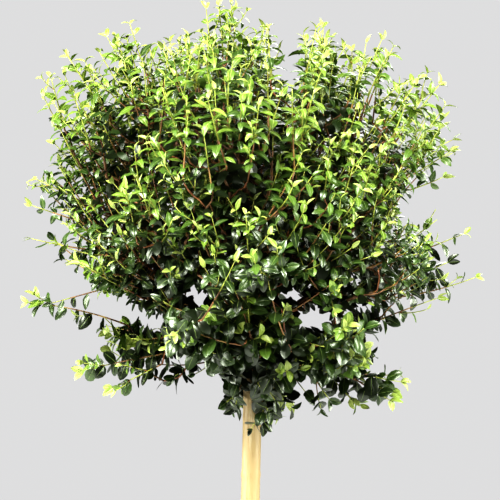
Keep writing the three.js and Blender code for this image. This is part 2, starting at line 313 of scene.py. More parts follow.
def relief_on(material, shader, scale, detail, strength, depth, place=None):
    """A fine relief; place is the node and the output that its pattern lies by."""
    pattern = add_node(material, "ShaderNodeTexNoise", Scale=scale, Detail=detail)
    bump = add_node(material, "ShaderNodeBump", Strength=strength, Distance=depth)
    join(material, pattern, "Fac", bump, "Height")
    join(material, bump, "Normal", shader, "Normal")
    if place:
        join(material, *place, pattern, "Vector")


def colour_ramp(material, *stops):
    """A ramp of colours; each stop is a place from 0 to 1 and the colour there."""
    ramp = add_node(material, "ShaderNodeValToRGB")
    first, last = ramp.color_ramp.elements
    first.position, first.color = stops[0]
    last.position, last.color = stops[-1]
    for place, colour in stops[1:-1]:
        ramp.color_ramp.elements.new(place).color = colour
    return ramp


def grained(name, colours, roughness, streaks, relief):
    """A material with long streaks of the colours along Z, and a fine relief across them.
    streaks is how stretched they are and their scale; relief its scale, strength and depth."""
    material, shader = shader_of(name, colours[1], roughness)
    stretch, scale = streaks
    relief_scale, strength, depth = relief
    place = add_node(material, "ShaderNodeTexCoord")
    along = add_node(material, "ShaderNodeMapping", Scale=(1, 1, stretch))
    noise = add_node(material, "ShaderNodeTexNoise", Scale=scale, Detail=5.0, Roughness=0.62)
    step = 0.36 / (len(colours) - 1)
    ramp = colour_ramp(material, *((0.32 + step * i, colour) for i, colour in enumerate(colours)))
    join(material, place, "Object", along, "Vector")
    join(material, along, "Vector", noise, "Vector")
    join(material, noise, "Fac", ramp, "Fac")
    join(material, ramp, "Color", shader, "Base Color")
    relief_on(material, shader, relief_scale, 4.0, strength, depth, (along, "Vector"))
    return material


def stem_line():
    """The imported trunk's own line: heights, places beside the axis and radii, ring by ring."""
    points, _ = node_shape("trunk")
    order = np.argsort(points[:, 2])
    gaps = np.nonzero(np.diff(points[order, 2]) > STEM_RING_GAP)[0] + 1
    rings = [points[group] for group in np.split(order, gaps)]
    middles = np.array([(ring.min(0) + ring.max(0)) / 2 for ring in rings])
    radii = [np.linalg.norm(ring[:, :2] - m[:2], axis=1).max() for ring, m in zip(rings, middles)]
    return middles, np.array(radii)


stem_middles, stem_radii = stem_line()
STEM_FOOT, STEM_TIP = stem_middles[0][2], stem_middles[-1][2]


def stem_at(height):
    """The middle of the stem at a height, or at each of several."""
    beside = [np.interp(height, stem_middles[:, 2], stem_middles[:, axis]) for axis in (0, 1)]
    return np.stack((*beside, np.asarray(height, float) + 0 * beside[0]), axis=-1)


def make_stem(chance):
    heights = np.arange(STEM_FOOT - STEM_INTO_COMPOST, STEM_TIP, STEM_STEP)
    turn = np.linspace(0, 2 * math.pi, STEM_SIDES, endpoint=False)
    rows, columns = len(heights), STEM_SIDES
    radii = np.interp(heights, stem_middles[:, 2], stem_radii)
    soft = np.ones(15) / 15
    radii = np.convolve(np.pad(radii, 7, mode="edge"), soft, mode="valid")
    relief = np.zeros((rows, columns))
    for depth, rings, across in STEM_WRINKLES:
        relief += depth * smooth_noise(chance, rows, columns, rows // rings, across)

    def bump_at(height, angle, half_height, half_width, rise):
        """A rounded swelling of the bark; the angle is measured round the stem."""
        away = (turn[None, :] - angle + math.pi) % (2 * math.pi) - math.pi
        beside = away * radii[:, None] / half_width
        above = ((heights - height) / half_height)[:, None]
        return rise * np.exp(-(beside**2) - above**2)

    for _ in range(STEM_PORES):
        place = chance.uniform(heights[0], heights[-1])
        rise = chance.uniform(*STEM_PORE_RISE)
        half_width = chance.uniform(*STEM_PORE_WIDTH)
        angle = chance.uniform(0, 2 * math.pi)
        relief += bump_at(place, angle, STEM_PORE_HEIGHT, half_width, rise)
    angle = 0.6
    for height in np.arange(STEM_FOOT + 25 * MM, STEM_TIP - 20 * MM, STEM_SCAR_STEP):
        height += chance.uniform(-1, 1) * STEM_SCAR_WANDER
        joint = np.exp(-(((heights - height) / STEM_JOINT_HEIGHT) ** 2))
        relief += STEM_JOINT_RISE * joint[:, None]
        for side in (0, math.pi):
            scar = angle + side
            relief += bump_at(height, scar, *STEM_SCAR_RIM)
            relief -= bump_at(height + 0.4 * MM, scar, *STEM_SCAR_PIT)
        angle += math.pi / 2 + chance.uniform(-0.25, 0.25)
    above_foot = np.clip((heights - STEM_FOOT) / ROOT_FLARE_HEIGHT, 0, 1)
    lobes = np.cos(ROOT_LOBES * turn + 0.7)[None, :] + 0.5 * np.cos(3 * turn + 2)[None, :]
    relief += ROOT_LOBE_DEPTH * ((1 - above_foot) ** 2)[:, None] * lobes
    points, triangles = closed_tube(stem_at(heights), radii[:, None] + relief, STEM_SIDES)
    colours = TAN, STRAW, STRAW, CREAM
    bark = grained("straw_bark", colours, 0.5, (0.05, 420), (2600, 0.35, 0.25 * MM))
    hand_over(piece_of("stem", points, triangles, bark), ["trunk"])


make_stem(np.random.default_rng(11))

# ------------------------------------------------------------------ boughs
# Fourteen boughs fork from the top of the stem and carry the head. They are the oldest wood in
# it: grey-brown, thick at the fork, with a swollen collar where they leave the stem and a ring
# at each old pair of buds.

BOUGH_SIDES = 20
BOUGH_STEPS = 44
BOUGH_FOOT_RADIUS = 3.7 * MM
BOUGH_TIP_RADIUS = 2.1 * MM
BOUGH_COLLAR = 1.1 * MM
BOUGH_COLLAR_SHARE = 0.12  # of the bough's length
BOUGH_ROUGHNESS = 0.22 * MM
BOUGH_KNOT = 0.35 * MM
BOUGH_KNOT_STEP = 14 * MM
BOUGH_KNOT_SHARE = 0.1  # of the step from knot to knot
BOUGH_FOOT_UP = 3 * MM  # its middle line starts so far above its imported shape's lowest point
BOUGH_END_REACH = 6 * MM  # packed points so near the furthest one belong to its end
OLD_BARK = linear(70, 48, 28), linear(106, 76, 46), linear(138, 110, 76)
bough_nodes = sorted(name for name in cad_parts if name.startswith("bough_"))


def curve_at(t, start, bend, end):
    """Places at the shares t of a curve that leaves start towards bend, and comes into end
    from it."""
    return (1 - t) ** 2 * start + 2 * t * (1 - t) * bend + t * t * end


def bough_line(name):
    """The middle line of a packed bough, from inside the stem to the leaf mass."""
    points, _ = node_shape(name)
    foot = stem_at(points[:, 2].min() + BOUGH_FOOT_UP)
    far = points[np.argmax(np.linalg.norm(points - foot, axis=1))]
    end = points[np.linalg.norm(points - far, axis=1) < BOUGH_END_REACH].mean(0)
    share = (points - foot) @ (end - foot) / ((end - foot) @ (end - foot))
    middle = points[np.abs(share - 0.5) < 0.14]
    halfway = middle.mean(0) if len(middle) else (foot + end) / 2
    t = np.linspace(0, 1, BOUGH_STEPS)[:, None]
    return curve_at(t, foot, 2 * halfway - (foot + end) / 2, end)


bough_lines = [bough_line(name) for name in bough_nodes]


def make_boughs(chance):
    boughs = []
    share = np.linspace(0, 1, BOUGH_STEPS)
    for line in bough_lines:
        length = np.linalg.norm(np.diff(line, axis=0), axis=1).sum()
        radii = BOUGH_FOOT_RADIUS + (BOUGH_TIP_RADIUS - BOUGH_FOOT_RADIUS) * share
        radii += BOUGH_COLLAR * np.exp(-((share / BOUGH_COLLAR_SHARE) ** 2))
        relief = BOUGH_ROUGHNESS * smooth_noise(chance, BOUGH_STEPS, BOUGH_SIDES, 9, 7)
        knots = np.abs((share * length / BOUGH_KNOT_STEP) % 1 - 0.5)
        relief += BOUGH_KNOT * np.exp(-(((0.5 - knots) / BOUGH_KNOT_SHARE) ** 2))[:, None]
        boughs.append(closed_tube(line, radii[:, None] + relief, BOUGH_SIDES))
    bark = grained("bough_bark", OLD_BARK, 0.72, (0.35, 260), (1500, 0.5, 0.3 * MM))
    hand_over(piece_of("boughs", *joined(boughs), bark), bough_nodes)


make_boughs(np.random.default_rng(12))

# ------------------------------------------------------------------ where the shoots end
# The head fills out from its tips inwards. The tips of this year's shoots lie evenly all round
# it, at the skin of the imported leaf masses, with a second layer of shorter shoots behind them.
# Longer shoots that have outgrown the head stand out as sprays.

SHELLS = (  # shoots in each layer of the head, how far under its skin they end, their length
    {"shoots": 1040, "depth": (-5 * MM, 9 * MM), "length": (38 * MM, 74 * MM)},
    {"shoots": 480, "depth": (26 * MM, 58 * MM), "length": (30 * MM, 52 * MM)},
)
SHOOTS_FAN_FROM = 60 * MM  # above the foot of the head, on its middle line
BESIDE_STEM = 22 * MM  # no shoot ends nearer to the stem than this,
BESIDE_STEM_UP_TO = 30 * MM  # up to this height above the foot of the head
FEET_FROM_STEM = 13 * MM  # shoots that would start nearer are made shorter
SHOOTS_STRAY = 0.27  # how far a shoot's direction strays from straight outwards
LONG_SHOOT_BOW = 0.06  # of its length
SPRAY_INTO_HEAD = 30 * MM  # a spray's shoot starts so far behind its packed mass,
SPRAY_SHORT_OF_END = 4 * MM  # and ends so far short of its outer end
CLUMP_SIZE = 58 * MM
CLUMP_RISE = 5 * MM  # how far clumps of shoots stand out, and how far the clefts sink
CLEFT_SIZE = 44 * MM
CLEFTS_BELOW = -0.62  # of the field that leaves clefts without shoots
CLEAR_STEM = 450 * MM  # compost to the lowest leaves
OPEN_SKY = (  # gaps that show sky: place beside the stem, height, half width, half height
    (0.052, 0.725, 0.012, 0.014),
    (0.034, 0.746, 0.015, 0.007),
    (0.090, 0.758, 0.008, 0.006),
    (0.096, 0.733, 0.010, 0.006),
    (0.048, 0.668, 0.015, 0.008),
    (-0.114, 0.731, 0.026, 0.014),
    (-0.080, 0.723, 0.013, 0.009),
    (-0.046, 0.745, 0.011, 0.010),
    (-0.058, 0.692, 0.008, 0.007),
    (-0.036, 0.675, 0.011, 0.011),
    (-0.152, 0.754, 0.022, 0.016),
    (0.150, 0.822, 0.017, 0.018),
    (-0.034, 0.664, 0.012, 0.010),
    (0.034, 0.962, 0.010, 0.026),
    (0.138, 0.733, 0.014, 0.009),
    (0.118, 0.706, 0.014, 0.010),
    (0.103, 0.917, 0.008, 0.013),
)
GAP_MARGIN = 2.5 * MM  # twigs keep this far from a gap, and leaves up to this far
WIDE_GAP = 20 * MM  # twigs still cross a gap with a greater half width
LED_FROM = 1.9  # twigs bend aside from this many times a gap's half width and half height
# Long shoots at the outline: foot and tip as x, y and height above the head's foot in
# millimetres, and how fresh each is, from 0 to 1.
LONG_SHOOTS = (
    ((-100, -20, 124), (-166, -26, 106), 0.0),
    ((-84, -62, 116), (-140, -84, 140), 1.0),
    ((-70, -26, 56), (-114, -34, 35), 0.9),
    ((92, -24, 84), (157, -28, 110), 0.3),
    ((110, -20, 118), (166, -24, 140), 0.0),
    ((116, -14, 138), (180, -18, 164), 0.5),
    ((114, -20, 142), (157, -26, 176), 0.9),
    ((62, -76, 108), (70, -126, 119), 1.0),
    ((84, -72, 128), (106, -106, 158), 1.0),
    ((60, -46, 44), (84, -70, 62), 0.6),
    ((8, -66, 62), (14, -92, 76), 0.6),
    ((-5, -10, 46), (-12, -26, 20), 0.0),
    ((6, -12, 44), (12, -28, 6), 0.05),
    ((8, -6, 46), (15, -22, 12), 0.3),
    ((28, -12, 56), (46, -30, 32), 0.0),
    ((46, -20, 58), (66, -34, 26), 0.05),
    ((56, -14, 58), (84, -24, 26), 0.3),
    ((78, -24, 52), (126, -30, 40), 0.5),
    ((78, -22, 50), (117, -32, 25), 0.3),
    ((8, 10, 42), (13, 24, 8), 0.0),
    ((-6, 10, 44), (-11, 26, 22), 0.0),
    ((-126, -4, 272), (-154, -8, 314), 0.8),
    ((-134, -2, 232), (-166, -6, 274), 0.8),
    ((-132, -10, 186), (-180, -12, 210), 0.5),
    ((-130, -12, 170), (-184, -14, 188), 0.2),
    ((-96, -4, 280), (-121, -6, 331), 0.9),
    ((-92, -8, 284), (-104, -12, 328), 0.9),
    ((-30, -8, 306), (-37, -12, 354), 0.9),
    ((-20, -8, 308), (-14, -14, 352), 0.9),
    ((-130, -16, 150), (-184, -20, 160), 0.4),
    ((124, 2, 222), (172, 0, 244), 0.8),
    ((122, 0, 202), (170, -4, 234), 0.7),
    ((124, -6, 196), (163, -10, 212), 0.5),
    ((122, -6, 256), (160, -8, 290), 0.8),
    ((12, -8, 284), (25, -12, 320), 0.8),
    ((8, -20, 290), (14, -24, 334), 0.8),
    ((50, -10, 286), (47, -14, 326), 0.9),
    ((62, -8, 296), (62, -10, 338), 0.9),
    ((84, -10, 278), (86, -16, 318), 0.8),
    ((104, 2, 262), (108, 0, 316), 0.8),
    ((-88, -10, 276), (-112, -14, 320), 0.7),
    ((90, -6, 270), (98, -12, 325), 0.9),
    ((98, -8, 268), (121, -12, 322), 0.9),
    ((94, -14, 262), (114, -22, 312), 0.8),
    ((114, -4, 248), (143, -8, 296), 0.9),
    ((122, -6, 240), (160, -10, 290), 0.9),
    ((118, -10, 214), (161, -14, 262), 0.8),
    ((108, -4, 240), (130, -8, 290), 0.8),
)
mass_nodes = sorted(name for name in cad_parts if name.startswith("foliage_"))
spray_nodes = sorted(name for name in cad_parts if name.startswith("spray_"))
grown = np.random.default_rng(2026)
UP = np.array((0.0, 0.0, 1.0))


def head_skin():
    """All leaf masses as one shape for rays, with its lowest and highest corner."""
    points, triangles = joined([node_shape(name) for name in mass_nodes])
    skin = BVHTree.FromPolygons(points.tolist(), triangles.tolist())
    return skin, points.min(0), points.max(0)


skin, head_low, head_high = head_skin()
head_middle = np.array((0.0, 0.0, (head_low[2] + head_high[2]) / 2))
shoots_fan_from = np.array((0.0, 0.0, head_low[2] + SHOOTS_FAN_FROM))


def smoothstep(low, high, value):
    t = np.clip((value - low) / (high - low), 0, 1)
    return t * t * (3 - 2 * t)


def height_share(places):
    """0 at the foot of the head and 1 at its top."""
    return np.clip((places[..., 2] - head_low[2]) / (head_high[2] - head_low[2]), 0, 1)


def spread_directions(count):
    """Directions spread evenly over the whole sphere, each a little out of place."""
    i = np.arange(count) + 0.5
    z = 1 - 2 * i / count
    turn = i * math.pi * (3 - math.sqrt(5))
    flat = np.sqrt(1 - z * z)
    even = np.column_stack((flat * np.cos(turn), flat * np.sin(turn), z))
    return unit(even + grown.normal(0, 0.75 / math.sqrt(count), even.shape))


def in_open_sky(places, margin=0.0):
    """Which places lie in a gap that one can see through from the front, or so near one."""
    inside = np.zeros(places.shape[:-1], bool)
    for x, z, *half in OPEN_SKY:
        offset = (places[..., ::2] - (x, z)) / (np.array(half) + np.asarray(margin)[..., None])
        inside |= (offset**2).sum(-1) < 1
    return inside


def led_round_gaps(places):
    """The places, with those in and near a gap moved aside so that the gap is clear."""
    moved = places.copy()
    for x, z, *half in OPEN_SKY:
        if half[0] > WIDE_GAP:
            continue
        reach = np.array(half) + GAP_MARGIN
        offset = (moved[..., ::2] - (x, z)) / reach
        away = np.maximum(np.linalg.norm(offset, axis=-1, keepdims=True), 1e-6)
        beyond = np.where(away < LED_FROM, 1 + away * (LED_FROM - 1) / LED_FROM, away)
        moved[..., ::2] = (x, z) + offset / away * beyond * reach
    return moved


def detoured(line):
    """The line with a bend round each gap that a straight stretch of it would cross."""
    bent = [line[0]]
    for here, there in zip(line, line[1:]):
        for x, z, *half in OPEN_SKY:
            reach = np.array(half) + GAP_MARGIN
            ends = (np.array((here, there))[:, ::2] - (x, z)) / reach
            if half[0] > WIDE_GAP or np.linalg.norm(ends.mean(0)) > 0.8:
                continue
            start, end = np.arctan2(ends[:, 1], ends[:, 0])
            turn = (end - start + math.pi) % (2 * math.pi) - math.pi
            for share in (0.2, 0.4, 0.6, 0.8):
                angle = start + share * turn
                place = here + share * (there - here)
                place[::2] = (x, z) + 1.05 * reach * (math.cos(angle), math.sin(angle))
                bent.append(place)
            break
        bent.append(there)
    return np.array(bent)


def clumps(places, size):
    """A soft field from about -1 to 1 that swells and sinks over so many metres."""
    waves = unit(grown.normal(0, 1, (9, 3))) * 2 * math.pi / size
    phases = grown.uniform(0, 2 * math.pi, 9)
    return np.sin(places @ waves.T + phases).sum(-1) / 3


def tips_under_skin(shell):
    """Where the shoots of one layer end."""
    tips = []
    for direction in spread_directions(shell["shoots"]):
        start = head_middle + 0.5 * direction
        place, _, _, _ = skin.ray_cast(Vector(start), Vector(-direction))
        if place is not None:
            tips.append(np.array(place))
    tips = np.array(tips)
    inward = unit(head_middle - tips)
    swell = clumps(tips, CLUMP_SIZE)[:, None]
    tips = tips + inward * (grown.uniform(*shell["depth"], (len(tips), 1)) - CLUMP_RISE * swell)
    low = tips[:, 2] < head_low[2] + BESIDE_STEM_UP_TO
    beside_stem = (np.hypot(tips[:, 0], tips[:, 1]) < BESIDE_STEM) & low
    cleft = clumps(tips, CLEFT_SIZE) < CLEFTS_BELOW - 0.8 * (height_share(tips) < 0.4)
    outer_part = np.linspace(0.82, 1, 4)[:, None, None]
    ways = shoots_fan_from + outer_part * (tips - shoots_fan_from)
    behind_gap = in_open_sky(ways).any(0)
    return tips[~(beside_stem | cleft | behind_gap)]


def picked(table, which):
    """The chosen rows of a table, which is a dict with an array for each column."""
    return {key: column[which] for key, column in table.items()}


def together(tables):
    """Tables with the same columns, one below another."""
    return {key: np.concatenate([table[key] for table in tables]) for key in tables[0]}


def shoots_to(tips, length_range):
    """The shoots that end at these tips: they fan out from the foot of the head, and turn up a
    little towards their tips."""
    high = height_share(tips)[:, None]
    outward = unit(tips - shoots_fan_from)
    wander = grown.normal(0, SHOOTS_STRAY, tips.shape)
    foot_way = unit(outward + wander - 0.12 * (1 - high) * UP)
    tip_way = unit(outward + 0.8 * wander + (0.12 + 0.16 * high) * UP)
    length = grown.uniform(*length_range, (len(tips), 1))
    feet = tips - length * unit(foot_way + tip_way)
    near_stem = np.linalg.norm(feet[:, :2], axis=1) < FEET_FROM_STEM
    length[near_stem] *= 0.7
    feet = tips - length * unit(foot_way + tip_way)
    bends = feet + 0.5 * length * foot_way
    return {"foot": feet, "bend": bends, "tip": tips, "fresh": np.full(len(tips), -1.0)}


def long_shoots():
    """A long shoot along each packed spray, and the others at the outline."""
    feet, tips, fresh = [], [], []
    for name in spray_nodes:
        points, _ = node_shape(name)
        middle = points.mean(0)
        _, _, ways = np.linalg.svd(points - middle)
        reach = (points - middle) @ ways[0]
        ends = middle + ways[0] * reach.min(), middle + ways[0] * reach.max()
        inner, outer = sorted(ends, key=lambda end: np.linalg.norm(end - head_middle))
        way = unit(outer - inner)
        feet.append(inner - SPRAY_INTO_HEAD * way)
        tips.append(outer - SPRAY_SHORT_OF_END * way)
        fresh.append(0.9 if middle[2] > head_middle[2] else 0.4)
    origin = np.array((0, 0, STEM_FOOT + CLEAR_STEM))
    for foot, tip, freshness in LONG_SHOOTS:
        feet.append(origin + np.array(foot) * MM)
        tips.append(origin + np.array(tip) * MM)
        fresh.append(freshness)
    feet, tips = np.array(feet), np.array(tips)
    bow = LONG_SHOOT_BOW * np.linalg.norm(tips - feet, axis=1, keepdims=True)
    bends = (feet + tips) / 2 + bow * unit(grown.normal(0, 1, feet.shape) - 0.6 * UP)
    return {"foot": feet, "bend": bends, "tip": tips, "fresh": np.array(fresh)}


layers = [shoots_to(tips_under_skin(shell), shell["length"]) for shell in SHELLS]
layers.append(long_shoots())
shoot_layer = np.repeat((0, 1, 2), [len(layer["tip"]) for layer in layers])
main = together(layers)

# ------------------------------------------------------------------ twigs
# Older wood: from the boughs and the tip of the stem it forks again and again, out to the feet
# of this year's shoots. Its bark is thin and smooth, red-brown on last year's twigs and
# grey-brown on the older ones. Wood that carries more shoots is thicker.

HUBS = ((56, 0.42), (170, 0.62))  # older forks: how many, and how far out from the fan's foot
FORK_REACH = 15 * MM  # feet of shoots nearer than this grow from one fork
STEM_FORKS_FROM = 25 * MM  # above the foot of the head
BOUGH_FORKS = slice(8, None, 5)  # of a bough's points, those that twigs can start from
GAP_COST = 130 * MM  # a way across a gap counts as so much longer
TWIG_STEP = 7 * MM
TWIG_WANDER = 0.6 * MM
HUB_WANDER = 5 * MM
SHOOT_FOOT_RADIUS = 0.74 * MM
TWIG_MOST_RADIUS = 2.2 * MM
PIPE_POWER = 2.7
TWIG_SIDES = 6
THICK_TWIG = 1.2 * MM
YOUNG_BARK = linear(84, 48, 26), linear(118, 74, 40), linear(152, 108, 62)


def forks_of_shoots():
    """Shoots whose feet lie close together and grow the same way start from one fork."""
    forks, ways = [], []
    fork_of = np.empty(len(main["foot"]), int)
    for i in grown.permutation(len(fork_of)):
        way = unit(main["bend"][i] - main["foot"][i])
        if forks and shoot_layer[i] < 2:
            away = np.linalg.norm(np.array(forks) - main["foot"][i], axis=1)
            away[np.array(ways) @ way < 0.6] = 1
            nearest = int(np.argmin(away))
            if away[nearest] < FORK_REACH:
                fork_of[i] = nearest
                continue
        fork_of[i] = len(forks)
        forks.append(main["foot"][i])
        ways.append(way)
    return np.array(forks), np.array(ways), fork_of


def thinned(places, count):
    """So many of the places, each as far as can be from those already taken."""
    taken = [0]
    away = np.linalg.norm(places - places[0], axis=1)
    while len(taken) < count:
        taken.append(int(away.argmax()))
        away = np.minimum(away, np.linalg.norm(places - places[taken[-1]], axis=1))
    return places[taken]


class Wood:
    """All older wood as points, each of which knows the one that it grows from."""

    def __init__(self):
        self.places, self.parents, self.ways, self.travelled = [], [], [], []

    def lay(self, line, parent, way):
        """Adds a line of points that grows from parent, and returns its last point."""
        for place in line:
            so_far = 0.0
            if parent >= 0:
                way = unit(place - self.places[parent])
                so_far = self.travelled[parent] + np.linalg.norm(place - self.places[parent])
            self.places.append(place)
            self.parents.append(parent)
            self.ways.append(way)
            self.travelled.append(so_far)
            parent = len(self.places) - 1
        return parent

    def grow_to(self, targets, target_ways, first):
        """Joins each target to the wood, the cheapest first: the way is short, leaves its fork
        at a small angle and leads outwards. Returns the point that each target became."""
        waiting = np.ones(len(targets), bool)
        best_cost = np.full(len(targets), np.inf)
        best_from = np.zeros(len(targets), int)
        outward = unit(targets - shoots_fan_from)

        def offer(new):
            there = np.array(self.places[new[0]:new[-1] + 1])
            ways = np.array(self.ways[new[0]:new[-1] + 1])
            travelled = np.array(self.travelled[new[0]:new[-1] + 1])
            chord = targets[:, None] - there[None]
            distance = np.linalg.norm(chord, axis=2)
            aim = unit(chord)
            turning = 1 - (aim * ways[None]).sum(2)
            aside = 1 - (aim * (outward + target_ways)[:, None]).sum(2) / 2
            cost = distance * (1 + 0.8 * turning**2 + 1.8 * aside**2) + 0.04 * travelled[None]
            for share in (0.25, 0.5, 0.75):
                cost += GAP_COST * in_open_sky(there[None] + share * chord)
            nearest = cost.argmin(1)
            cheapest = cost[np.arange(len(targets)), nearest]
            cheaper = cheapest < best_cost
            best_cost[cheaper] = cheapest[cheaper]
            best_from[cheaper] = new[nearest[cheaper]]

        offer(np.arange(first, len(self.places)))
        became = np.empty(len(targets), int)
        while waiting.any():
            pick = int(np.argmin(np.where(waiting, best_cost, np.inf)))
            waiting[pick] = False
            start = int(best_from[pick])
            chord = targets[pick] - self.places[start]
            distance = np.linalg.norm(chord)
            leave = unit(0.6 * self.ways[start] + unit(chord)) * distance * 0.4
            arrive = unit(target_ways[pick] + unit(chord)) * distance * 0.4
            steps = max(2, int(round(distance / TWIG_STEP)) + 1)
            t = np.linspace(0, 1, steps)[1:, None]
            line = (
                (1 - t) ** 3 * self.places[start]
                + 3 * t * (1 - t) ** 2 * (self.places[start] + leave)
                + 3 * t * t * (1 - t) * (targets[pick] - arrive)
                + t**3 * targets[pick]
            )
            line[:-1] += grown.normal(0, TWIG_WANDER, line[:-1].shape)
            first_new = len(self.places)
            became[pick] = self.lay(line, start, UP)
            offer(np.arange(first_new, len(self.places)))
        return became


fork_places, fork_ways, shoot_fork = forks_of_shoots()
tree = Wood()
tree.lay(stem_at(np.arange(head_low[2] + STEM_FORKS_FROM, STEM_TIP, TWIG_STEP)), -1, UP)
stem_points = np.array(tree.places)
for line in bough_lines:
    fork = int(np.argmin(np.abs(stem_points[:, 2] - line[0][2])))
    tree.lay(line[BOUGH_FORKS], fork, UP)
given_wood = len(tree.places)
outer_tips = main["tip"][shoot_layer == 0]
for count, share in HUBS:
    hubs = shoots_fan_from + share * (thinned(outer_tips, count) - shoots_fan_from)
    hubs += grown.normal(0, HUB_WANDER, hubs.shape)
    tree.grow_to(hubs, unit(hubs - shoots_fan_from), len(stem_points) // 2)
fork_points = tree.grow_to(fork_places, fork_ways, len(stem_points) // 2)
wood, wood_parent = np.array(tree.places), np.array(tree.parents)
wood[given_wood:] = led_round_gaps(wood[given_wood:])
wood_way = np.array(tree.ways)
in_head = (shoot_layer < 2)[:, None]
main["bend"] = np.where(in_head, led_round_gaps(main["bend"]), main["bend"])
main["tip"] = np.where(in_head, led_round_gaps(main["tip"]), main["tip"])
main["foot"] = wood[fork_points][shoot_fork]
way_along = np.linspace(0.15, 0.85, 5)[:, None, None]
lines = curve_at(way_along, main["foot"], main["bend"], main["tip"])
clear = (shoot_layer == 2) | ~in_open_sky(lines).any(0)
main = picked(main, clear)
shoot_layer, shoot_fork = shoot_layer[clear], shoot_fork[clear]
carried = np.bincount(fork_points[shoot_fork], minlength=len(wood)).astype(float)
for i in range(len(wood) - 1, 0, -1):
    if wood_parent[i] >= 0:
        carried[wood_parent[i]] += carried[i]
wood_radius = SHOOT_FOOT_RADIUS * np.maximum(carried, 1) ** (1 / PIPE_POWER)
wood_radius = np.minimum(wood_radius, TWIG_MOST_RADIUS)


def wood_runs():
    """Lines of wood from a fork to where they end: at each fork the thickest goes on."""
    children = {}
    for i in range(given_wood, len(wood)):
        if carried[i] > 0:
            children.setdefault(int(wood_parent[i]), []).append(i)
    runs = []
    for parent, starts in children.items():
        starts = sorted(starts, key=lambda i: -carried[i])
        for start in starts[1:] if parent >= given_wood else starts:
            run = [parent, start]
            while run[-1] in children:
                run.append(max(children[run[-1]], key=lambda i: carried[i]))
            runs.append(run)
    return runs


def make_twigs():
    thick, thin = [], []
    for run in wood_runs():
        radii = wood_radius[run].copy()
        radii[0] = radii[1]
        radii *= 1 + 0.09 * np.sin(np.arange(len(run)) * 2.2 + run[1])
        line = detoured(wood[run])
        radii = np.interp(np.linspace(0, 1, len(line)), np.linspace(0, 1, len(run)), radii)
        tube = closed_tube(line, radii, TWIG_SIDES)
        (thick if wood_radius[run[1]] > THICK_TWIG else thin).append(tube)
    old = grained("old_twig_bark", OLD_BARK, 0.7, (0.5, 300), (1800, 0.4, 0.2 * MM))
    hand_over(piece_of("old_twigs", *joined(thick), old), mass_nodes)
    young = grained("young_twig_bark", YOUNG_BARK, 0.55, (0.6, 220), (1800, 0.25, 0.12 * MM))
    hand_over(piece_of("twigs", *joined(thin), young), mass_nodes)


make_twigs()

# ------------------------------------------------------------------ leafy shoots
# This year's growth. A shoot carries its leaves in pairs, each pair turned a quarter from the
# one before, closer together towards the tip. Fresh shoots end in soft lime-green growth; on
# settled ones the leaves are full-grown to the tip. Short side shoots break from the axils.

PAIR_STEP = 9.4 * MM
MOST_PAIRS = 12
SHOOT_SIDES = 4
SHOOT_TIP_RADIUS = 0.34 * MM
AXIL_SHARE = 0.13  # of the leaf pairs, how many bear a side shoot
AXIL_LENGTH = (8, 22)  # in millimetres
AXIL_PAIR_STEP = 6.0 * MM
AXIL_RADIUS = 0.5 * MM
SOFT_GROWTH = 33 * MM  # how far back from the tip the freshest shoots are still soft
LEAST_SOFT_GROWTH = 12 * MM  # and how far back every shoot's own skin is green
SAPPY_SKIN = linear(124, 112, 50), linear(144, 154, 62), linear(176, 186, 92)
WOODY_SKIN = linear(88, 58, 34), linear(122, 88, 48), linear(154, 130, 70)


def shoot_place(shoots, t):
    """Place and direction at a share of each shoot's length."""
    foot, bend, tip = shoots["foot"], shoots["bend"], shoots["tip"]
    t = t[..., None]
    way = unit((1 - t) * (bend - foot) + t * (tip - bend))
    return curve_at(t, foot, bend, tip), way


def habit_of_main_shoots():
    """How fresh each main shoot is, its leaves' size and shape, and how many pairs it has."""
    high = height_share(main["tip"])
    length = np.linalg.norm(main["tip"] - main["foot"], axis=1)
    n = len(length)
    draw = grown.random(n)
    fresh_share = 0.17 + 0.73 * smoothstep(0.28, 0.85, high)
    fresh = np.where(draw < fresh_share, grown.uniform(0.4, 1.0, n), 0.0)
    half = (draw >= fresh_share) & (grown.random(n) < 0.4)
    fresh = np.where(half, grown.uniform(0.1, 0.3, n), fresh)
    fresh = np.where(shoot_layer == 1, fresh * 0.4 * high, fresh)
    fresh = np.where(main["fresh"] >= 0, main["fresh"], fresh)
    # The lowest leaves are the longest, in millimetres, and the broadest for their length.
    leaf = 18.6 - 3.8 * smoothstep(0.12, 0.5, high) + 2.0 * smoothstep(0.55, 0.9, high)
    ratio = 0.70 - 0.22 * smoothstep(0.1, 0.45, high) - 0.06 * smoothstep(0.45, 0.9, high)
    pairs = length / PAIR_STEP * grown.uniform(0.88, 1.14, n) * (0.84 + 0.16 * high)
    pairs *= np.where(shoot_layer == 2, 0.9, 1)
    return {
        "high": high,
        "fresh": fresh,
        "leaf": leaf * MM * grown.uniform(0.88, 1.12, n) * np.where(shoot_layer == 2, 0.94, 1),
        "ratio": ratio * grown.uniform(0.92, 1.08, n),
        "pairs": np.clip(np.round(pairs), 3, MOST_PAIRS),
        "phase": grown.uniform(0, math.pi, n),
        "radius": np.full(n, SHOOT_FOOT_RADIUS),
        "shade": grown.normal(0, 0.55, n),
        "layer": shoot_layer,
    }


def pair_shares(shoots):
    """How far along its shoot each leaf pair stands, and which pairs there are."""
    k = np.arange(MOST_PAIRS)[None]
    pairs = shoots["pairs"][:, None]
    share = np.clip((k + 0.6) / (pairs - 0.4), 0, 1) ** 0.85
    return share, k < pairs


def across_way(way, phase):
    """A direction square to way, turned round it by phase."""
    level = np.cross(way, UP)
    steep = np.linalg.norm(level, axis=-1, keepdims=True) < 0.2
    side = unit(np.where(steep, np.cross(way, (0, 1.0, 0)), level))
    other = np.cross(way, side)
    return np.cos(phase)[..., None] * side + np.sin(phase)[..., None] * other


